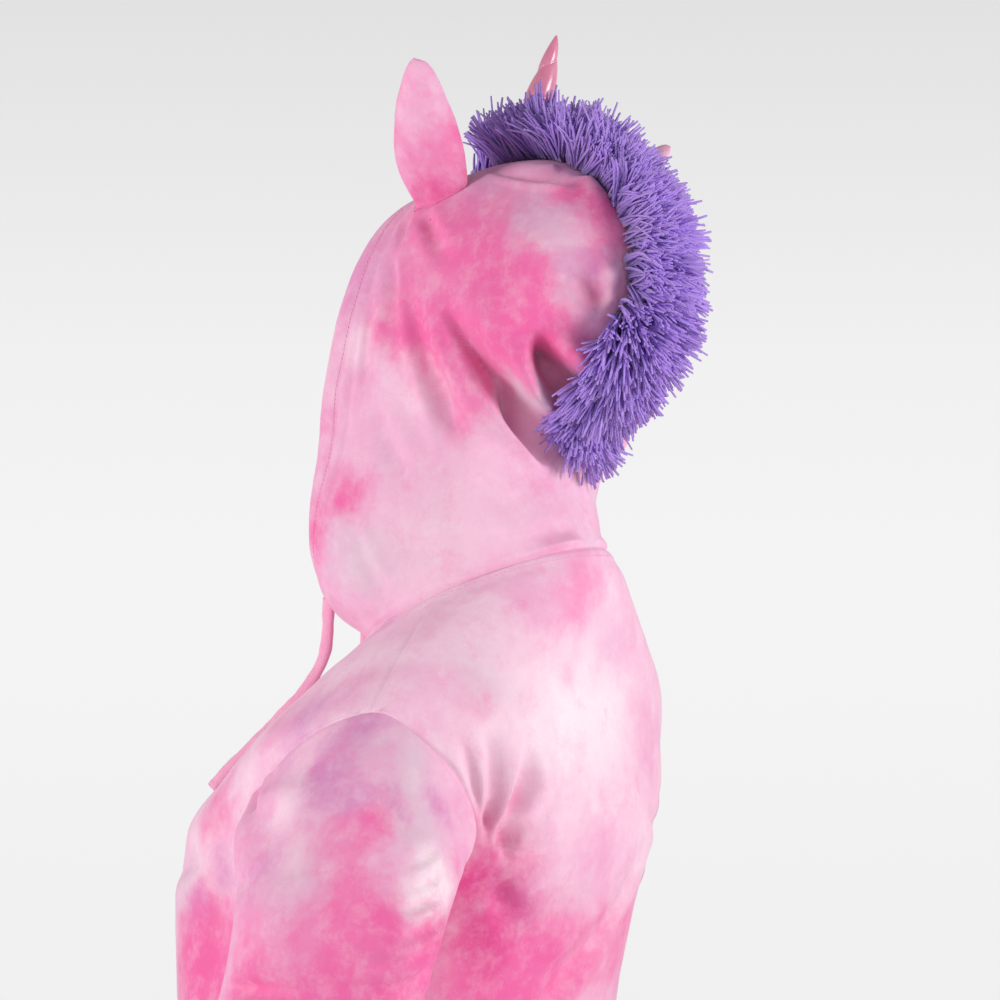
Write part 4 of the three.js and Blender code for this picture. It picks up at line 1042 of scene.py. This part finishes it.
BODY_BLOOMS = [
    [90, -33, -21, 20, 0.6, "lilac"], [74, 80, -2, 32, 0.7, "pink"], [30, 95, 8, 34, 0.6, "hot"],
    [136, 74, -65, 24, 0.4, "hot"], [126, 73, -44, 40, 0.7, "grey"], [41, 98, -50, 16, 0.7, "lilac"],
    [44, 99, -66, 13, 0.6, "lilac"], [-21, 100, -38, 30, 0.5, "lilac"], [50, 98, -88, 60, 0.9, "white"],
    [-10, 100, -80, 50, 0.7, "white"], [-76, 98, -120, 46, 0.6, "pink"],
    # The deep and mauve blooms at x 98 to 122, y 58 to 72, z -200 to -228 are painted shade under the
    # left arm, not dye.
    [26, 104, -184, 36, 0.6, "pink"], [122, 65, -200, 54, 1.0, "deep"],
    [98, 72, -222, 34, 0.6, "mauve"], [109, 58, -262, 54, 1.0, "hot"], [-60, 85, -262, 44, 0.9, "hot"],
    [52, 88, -233, 34, 0.7, "grey"], [70, 70, -262, 40, 1.0, "hot"], [2, 87, -262, 40, 0.9, "hot"],
    [104, 64, -262, 60, 1.0, "hot"], [60, 86, -272, 60, 1.0, "hot"], [112, 58, -228, 34, 0.9, "deep"],
    [142, -162, -262, 46, 0.9, "deep"], [148, -130, -262, 50, 1.0, "hot"],
    [47, 74, -290, 40, 0.9, "hot"], [140, -148, -167, 34, 0.9, "hot"],
    [124, -178, -190, 22, 0.6, "blush"], [120, -191, -216, 30, 0.9, "grey"],
    [151, -130, -205, 20, 0.7, "lilac"], [137, -166, -232, 20, 0.7, "lilac"],
    [140, -160, -275, 52, 1.0, "hot"], [0, 70, -420, 70, 0.8, "hot"],
    [-110, 50, -330, 60, 0.8, "lilac"], [100, 40, -480, 70, 0.8, "grey"],
    [-40, 70, -560, 70, 0.9, "hot"], [-140, -60, -480, 70, 0.7, "lilac"],
    [-60, -220, -260, 70, 0.8, "hot"], [40, -225, -360, 60, 0.7, "lilac"],
    [-40, -220, -470, 70, 0.9, "grey"], [90, -200, -540, 70, 0.9, "hot"],
    [-120, -150, -590, 60, 0.8, "hot"], [0, -120, -110, 50, 0.6, "lilac"],
    [170, -60, -420, 60, 0.8, "hot"], [-60, 98, -20, 30, 0.5, "pink"],
    [173, -52, -85, 36, 0.9, "lilac"], [158, -86, -96, 32, 0.8, "pink"],
    [168, -14, -63, 26, 0.6, "pink"], [162, 35, -60, 26, 0.5, "rose"],
]
SLEEVE_BLOOMS = [
    [199, 16, -89, 32, 1.0, "lilac"], [216, -3, -116, 26, 0.9, "lilac"],
    [228, 20, -130, 22, 0.8, "lilac"], [180, -50, -110, 26, 0.6, "lilac"],
    [200, -40, -96, 30, 0.6, "blush"], [194, 50, -112, 34, 1.0, "grey"],
    [206, 64, -150, 34, 1.0, "grey"], [215, 50, -132, 13, 0.8, "lilac"],
    [172, 67, -137, 20, 0.8, "lilac"], [237, 36, -146, 22, 0.9, "hot"], [255, 20, -168, 28, 0.8, "hot"],
    [258, 44, -188, 30, 1.0, "hot"], [256, 60, -212, 34, 1.0, "hot"],
    [222, -28, -142, 30, 0.9, "blush"], [258, -30, -160, 22, 0.8, "grey"],
    [207, 80, -184, 30, 0.9, "white"], [261, -27, -186, 24, 0.6, "lilac"],
    [280, 8, -205, 22, 0.7, "pink"], [289, -8, -247, 30, 0.8, "hot"], [271, 12, -184, 30, 0.8, "grey"],
    # The deep bloom at 205, 80, -225 is painted shade under the left arm, not dye.
    [259, 1, -166, 22, 0.7, "blush"], [205, 80, -225, 28, 0.8, "deep"], [211, 75, -258, 30, 0.8, "hot"],
    [285, 39, -256, 30, 0.9, "hot"], [225, 80, -236, 36, 0.9, "hot"], [258, 52, -252, 60, 1.0, "hot"],
    [288, 6, -272, 54, 1.0, "hot"], [271, 30, -218, 30, 0.7, "hot"], [250, 60, -290, 50, 1.0, "hot"],
    [200, -60, -330, 60, 0.8, "grey"], [270, -90, -390, 60, 0.9, "hot"],
    [210, -120, -470, 60, 0.8, "lilac"], [250, -190, -520, 50, 0.9, "hot"],
    [-200, 10, -110, 40, 0.9, "lilac"], [-240, -20, -170, 46, 1.0, "hot"],
    [-220, 40, -190, 40, 0.8, "grey"], [-250, -120, -230, 50, 0.9, "hot"],
    [-210, -200, -300, 50, 0.8, "lilac"], [-200, -290, -340, 50, 0.9, "hot"],
]
EAR_BLOOMS = [
    [55, -28, 374, 36, 1.0, "rose"], [44, -38, 350, 24, 0.8, "rose"], [36, -11, 332, 22, 0.6, "hot"],
    [18, -26, 297, 24, 0.9, "deep"], [-190, 32, 336, 40, 0.9, "blush"], [-130, -8, 272, 30, 0.7, "hot"],
]
RIB_BLOOMS = [
    [60, 60, -680, 70, 0.8, "rose"], [-110, 20, -670, 60, 0.7, "lilac"],
    [20, -200, -680, 80, 0.8, "rose"], [-170, -80, -670, 60, 0.8, "hot"],
    [230, -210, -580, 30, 0.7, "rose"], [-160, -370, -430, 30, 0.7, "lilac"],
]


class Shader:
    """A material's nodes, with short calls that add and join them."""

    def __init__(self, name):
        self.material = bpy.data.materials.new(name)
        self.material.use_nodes = True
        self.tree = self.material.node_tree
        self.surface = self.tree.nodes["Principled BSDF"]

    def join(self, socket, value):
        if isinstance(value, bpy.types.NodeSocket):
            self.tree.links.new(value, socket)
        else:
            socket.default_value = value

    def add(self, kind, inputs, out=0, **settings):
        node = self.tree.nodes.new(kind)
        for name, value in settings.items():
            setattr(node, name, value)
        for key, value in inputs.items():
            self.join(node.inputs[key], value)
        return node.outputs[out]

    def finish(self, **values):
        for name, value in values.items():
            self.join(self.surface.inputs[name.replace("_", " ")], value)
        return self.material

    def position(self):
        return self.add("ShaderNodeTexCoord", {}, "Object")

    def noise(self, vector, scale, detail=2.0, out="Fac", roughness=0.5):
        inputs = {"Vector": vector, "Scale": scale, "Detail": detail, "Roughness": roughness}
        return self.add("ShaderNodeTexNoise", inputs, out)

    def vector(self, operation, *values, out=0):
        return self.add("ShaderNodeVectorMath", dict(enumerate(values)), out, operation=operation)

    def math(self, operation, *values):
        return self.add("ShaderNodeMath", dict(enumerate(values)), 0, operation=operation)

    def fade(self, value, low, high, at_low, at_high):
        inputs = {0: value, 1: low, 2: high, 3: at_low, 4: at_high}
        return self.add("ShaderNodeMapRange", inputs, 0, interpolation_type="SMOOTHSTEP")

    def mix(self, factor, a, b):
        return self.add("ShaderNodeMix", {0: factor, 6: a, 7: b}, 2, data_type="RGBA")

    def bump(self, height, strength, distance):
        inputs = {"Height": height, "Strength": strength, "Distance": distance}
        return self.add("ShaderNodeBump", inputs)


def warped(shader, position):
    """The position, wandered so that a bloom's edge runs as dye does."""
    wide = shader.vector("SUBTRACT", shader.noise(position, 12, 2, "Color"), (0.5, 0.5, 0.5))
    near = shader.vector("SUBTRACT", shader.noise(position, 50, 5, "Color", 0.7), (0.5, 0.5, 0.5))
    moved = shader.vector("MULTIPLY_ADD", wide, (0.06, 0.06, 0.06), position)
    return shader.vector("MULTIPLY_ADD", near, (0.036, 0.036, 0.036), moved)


def dye_and_painted_shade(shader, position, ground, blooms):
    """Tie-dye: a clouded ground with patchy blooms of dye, and a few of painted shade, that run into
    each other.
    """
    place = warped(shader, position)
    cloud = shader.fade(shader.noise(place, 13, 5, roughness=0.62), 0.34, 0.68, 0.0, 1.0)
    colour = shader.mix(cloud, *(DYES_AND_SHADES[dye] for dye in ground))
    patchy = shader.fade(shader.noise(position, 34, 6, roughness=0.7), 0.30, 0.60, 0.66, 1.0)
    for x, y, z, radius, strength, dye in blooms:
        away = shader.vector("DISTANCE", place, (x * MM, y * MM, z * MM), out="Value")
        bloom = shader.fade(away, 0.1 * radius * MM, 1.35 * radius * MM, strength, 0.0)
        colour = shader.mix(shader.math("MULTIPLY", bloom, patchy), colour, DYES_AND_SHADES[dye])
    mottle = shader.fade(shader.noise(position, 60, 6, roughness=0.7), 0.42, 0.72, 0.0, 0.20)
    colour = shader.mix(mottle, colour, DYES_AND_SHADES["white"])
    stains = shader.fade(shader.noise(position, 42, 6, roughness=0.72), 0.50, 0.76, 0.0, 0.30)
    return shader.mix(stains, colour, DYES_AND_SHADES["hot"])


def fleece(name, ground, blooms):
    shader = Shader(name)
    position = shader.position()
    colour = dye_and_painted_shade(shader, position, ground, blooms)
    fuzz = shader.noise(position, 1100, 2, roughness=0.7)
    lumps = shader.noise(position, 240, 3)
    # Where the nap's bump is low the colour goes a little towards deep pink: painted shade in its
    # hollows.
    colour = shader.mix(shader.fade(fuzz, 0.35, 0.65, 0.07, 0.0), colour, DYES_AND_SHADES["deep"])
    height = shader.math("MULTIPLY_ADD", fuzz, 0.5, lumps)
    return shader.finish(Base_Color=colour, Roughness=0.92, Sheen_Weight=0.18, Sheen_Roughness=0.5,
                         Sheen_Tint=(1.0, 0.80, 0.90, 1.0), Specular_IOR_Level=0.2,
                         Normal=shader.bump(height, 0.25, 0.0012))


def yarn_material():
    shader = Shader("violet_yarn")
    position = shader.position()
    tone = shader.add("ShaderNodeAttribute", {}, "Fac", attribute_name="tone")
    reach = shader.add("ShaderNodeAttribute", {}, "Fac", attribute_name="reach")
    # Darker towards the roots, where the strands crowd: painted shade; paler out to the tips.
    painted_root_shade = shader.fade(reach, 0.0, 0.75, 0.0, 1.0)
    colour = shader.mix(painted_root_shade, rgb(84, 44, 144), rgb(184, 142, 240))
    colour = shader.mix(shader.math("MULTIPLY", tone, 0.65), colour, rgb(214, 178, 252))
    fibre = shader.noise(position, 900, 2)
    colour = shader.mix(shader.math("MULTIPLY", fibre, 0.35), colour, rgb(104, 68, 176))
    return shader.finish(Base_Color=colour, Roughness=0.7, Sheen_Weight=0.4, Sheen_Roughness=0.4,
                         Sheen_Tint=(0.85, 0.78, 1.0, 1.0), Normal=shader.bump(fibre, 0.4, 0.0005))


def satin_material():
    shader = Shader("horn_satin")
    position = shader.position()
    cloud = shader.noise(position, 60, 3)
    colour = shader.mix(cloud, rgb(216, 112, 148), rgb(228, 148, 174))
    weave = shader.noise(position, 1500, 1)
    gloss = shader.fade(cloud, 0.3, 0.7, 0.26, 0.42)
    return shader.finish(Base_Color=colour, Roughness=gloss, Coat_Weight=0.3, Coat_Roughness=0.2,
                         Specular_IOR_Level=0.7, Normal=shader.bump(weave, 0.1, 0.0003))


def cord_material():
    shader = Shader("cord_knit")
    position = shader.position()
    cloud = shader.noise(position, 70, 3)
    colour = shader.mix(cloud, rgb(246, 158, 198), rgb(250, 190, 214))
    loops = shader.add("ShaderNodeTexVoronoi", {"Vector": position, "Scale": 1100.0}, "Distance")
    shade = shader.mix(shader.fade(loops, 0.2, 0.8, 0.0, 0.25), colour, rgb(228, 104, 160))
    return shader.finish(Base_Color=shade, Roughness=0.85, Sheen_Weight=0.3,
                         Normal=shader.bump(loops, 0.45, 0.0006))


def thread_material():
    shader = Shader("thread")
    twist = shader.noise(shader.position(), 1600, 1)
    colour = shader.mix(twist, rgb(240, 150, 192), rgb(252, 204, 224))
    return shader.finish(Base_Color=colour, Roughness=0.6, Normal=shader.bump(twist, 0.3, 0.0003))


# ---------------------------------------------------------------- floor and light

FLOOR_Z = -716
FLOOR_RADIUS = 2300


def make_floor():
    angle = around(96)
    x, y = np.cos(angle) * FLOOR_RADIUS, np.sin(angle) * FLOOR_RADIUS
    rim = np.stack([x, y, 0 * angle + FLOOR_Z], -1)
    mesh = bpy.data.meshes.new("floor")
    mesh.from_pydata((rim * MM).tolist(), [], [list(range(len(rim)))])
    floor = add_object("floor", mesh)
    shader = Shader("floor")
    tint = shader.noise(shader.position(), 3, 2)
    shader.finish(Base_Color=shader.mix(tint, rgb(232, 231, 232), rgb(238, 237, 238)), Roughness=0.8)
    mesh.materials.append(shader.material)


def make_light(name, right, forward, up, size, watts):
    """A soft square lamp placed from the picture's middle: to its right, towards the camera, up."""
    data = bpy.data.lights.new(name, "AREA")
    data.size = size
    data.energy = watts
    lamp = add_object(name, data)
    place = Vector(right * VIEW_RIGHT + forward * TOWARDS_CAMERA + up * np.array([0, 0, 1]))
    lamp.location = place
    lamp.rotation_euler = (-place).to_track_quat("-Z", "Y").to_euler()
    lamp.visible_camera = False


# Brightness of the surroundings by the height of the way they are seen in: pale round the
# horizon, as in the picture, and dimmer overhead. The camera's own side is darker all over.
SKY = [[-0.30, 0.80], [-0.16, 0.87], [-0.03, 0.905], [0.04, 0.88], [0.16, 0.75], [0.45, 0.36],
       [1.0, 0.26]]
CAMERA_SIDE = 0.62


def make_world():
    world = bpy.data.worlds.new("studio")
    bpy.context.scene.world = world
    world.use_nodes = True
    nodes, links = world.node_tree.nodes, world.node_tree.links
    place = nodes.new("ShaderNodeTexCoord")
    parts = nodes.new("ShaderNodeSeparateXYZ")
    span = nodes.new("ShaderNodeMapRange")
    ramp = nodes.new("ShaderNodeValToRGB")
    low, high = SKY[0][0], SKY[-1][0]
    span.inputs[1].default_value = low
    span.inputs[2].default_value = high
    links.new(place.outputs["Generated"], parts.inputs[0])
    links.new(parts.outputs["Z"], span.inputs[0])
    links.new(span.outputs[0], ramp.inputs[0])
    links.new(ramp.outputs[0], nodes["Background"].inputs["Color"])
    stops = ramp.color_ramp.elements
    for _ in SKY[2:]:
        stops.new(0.5)
    for stop, (height, grey) in zip(stops, SKY):
        stop.position = (height - low) / (high - low)
        stop.color = (grey, grey, grey, 1)
    facing = nodes.new("ShaderNodeVectorMath")
    facing.operation = "DOT_PRODUCT"
    facing.inputs[1].default_value = TOWARDS_CAMERA
    dim = nodes.new("ShaderNodeMapRange")
    dim.interpolation_type = "SMOOTHSTEP"
    for slot, value in zip(range(1, 5), (0.0, 0.6, 1.0, CAMERA_SIDE)):
        dim.inputs[slot].default_value = value
    links.new(place.outputs["Generated"], facing.inputs[0])
    links.new(facing.outputs["Value"], dim.inputs[0])
    links.new(dim.outputs[0], nodes["Background"].inputs["Strength"])


def light_studio():
    make_world()
    make_light("key", right=1.85, forward=1.1, up=0.5, size=0.8, watts=30)
    make_light("fill", right=-1.85, forward=1.1, up=0.4, size=0.9, watts=26)
    bpy.context.scene.view_settings.view_transform = "Standard"


# ---------------------------------------------------------------- the garment

OUTER = {}
make_camera()
MATERIALS = {
    "body": fleece("body_fleece", ("blush", "rose"), BODY_BLOOMS),
    "sleeve": fleece("sleeve_fleece", ("rose", "pink"), SLEEVE_BLOOMS),
    "hood": fleece("hood_fleece", ("rose", "pink"), HOOD_BLOOMS),
    "ear": fleece("ear_fleece", ("pink", "hot"), EAR_BLOOMS),
    "rib": fleece("rib_knit", ("pink", "hot"), RIB_BLOOMS),
    "yarn": yarn_material(),
    "satin": satin_material(),
    "cord": cord_material(),
    "thread": thread_material(),
}
for word in ("left", "right"):
    make_drawstring(word)
make_body()
make_hem_band()
make_sleeves()
make_hood()
TREE = hood_tree()
make_ears()
make_horn()
make_yarn("forelock", "forelock")
make_yarn("mane_crown", "mane")
make_yarn("mane_nape", "mane")
make_stitches()
make_floor()
light_studio()
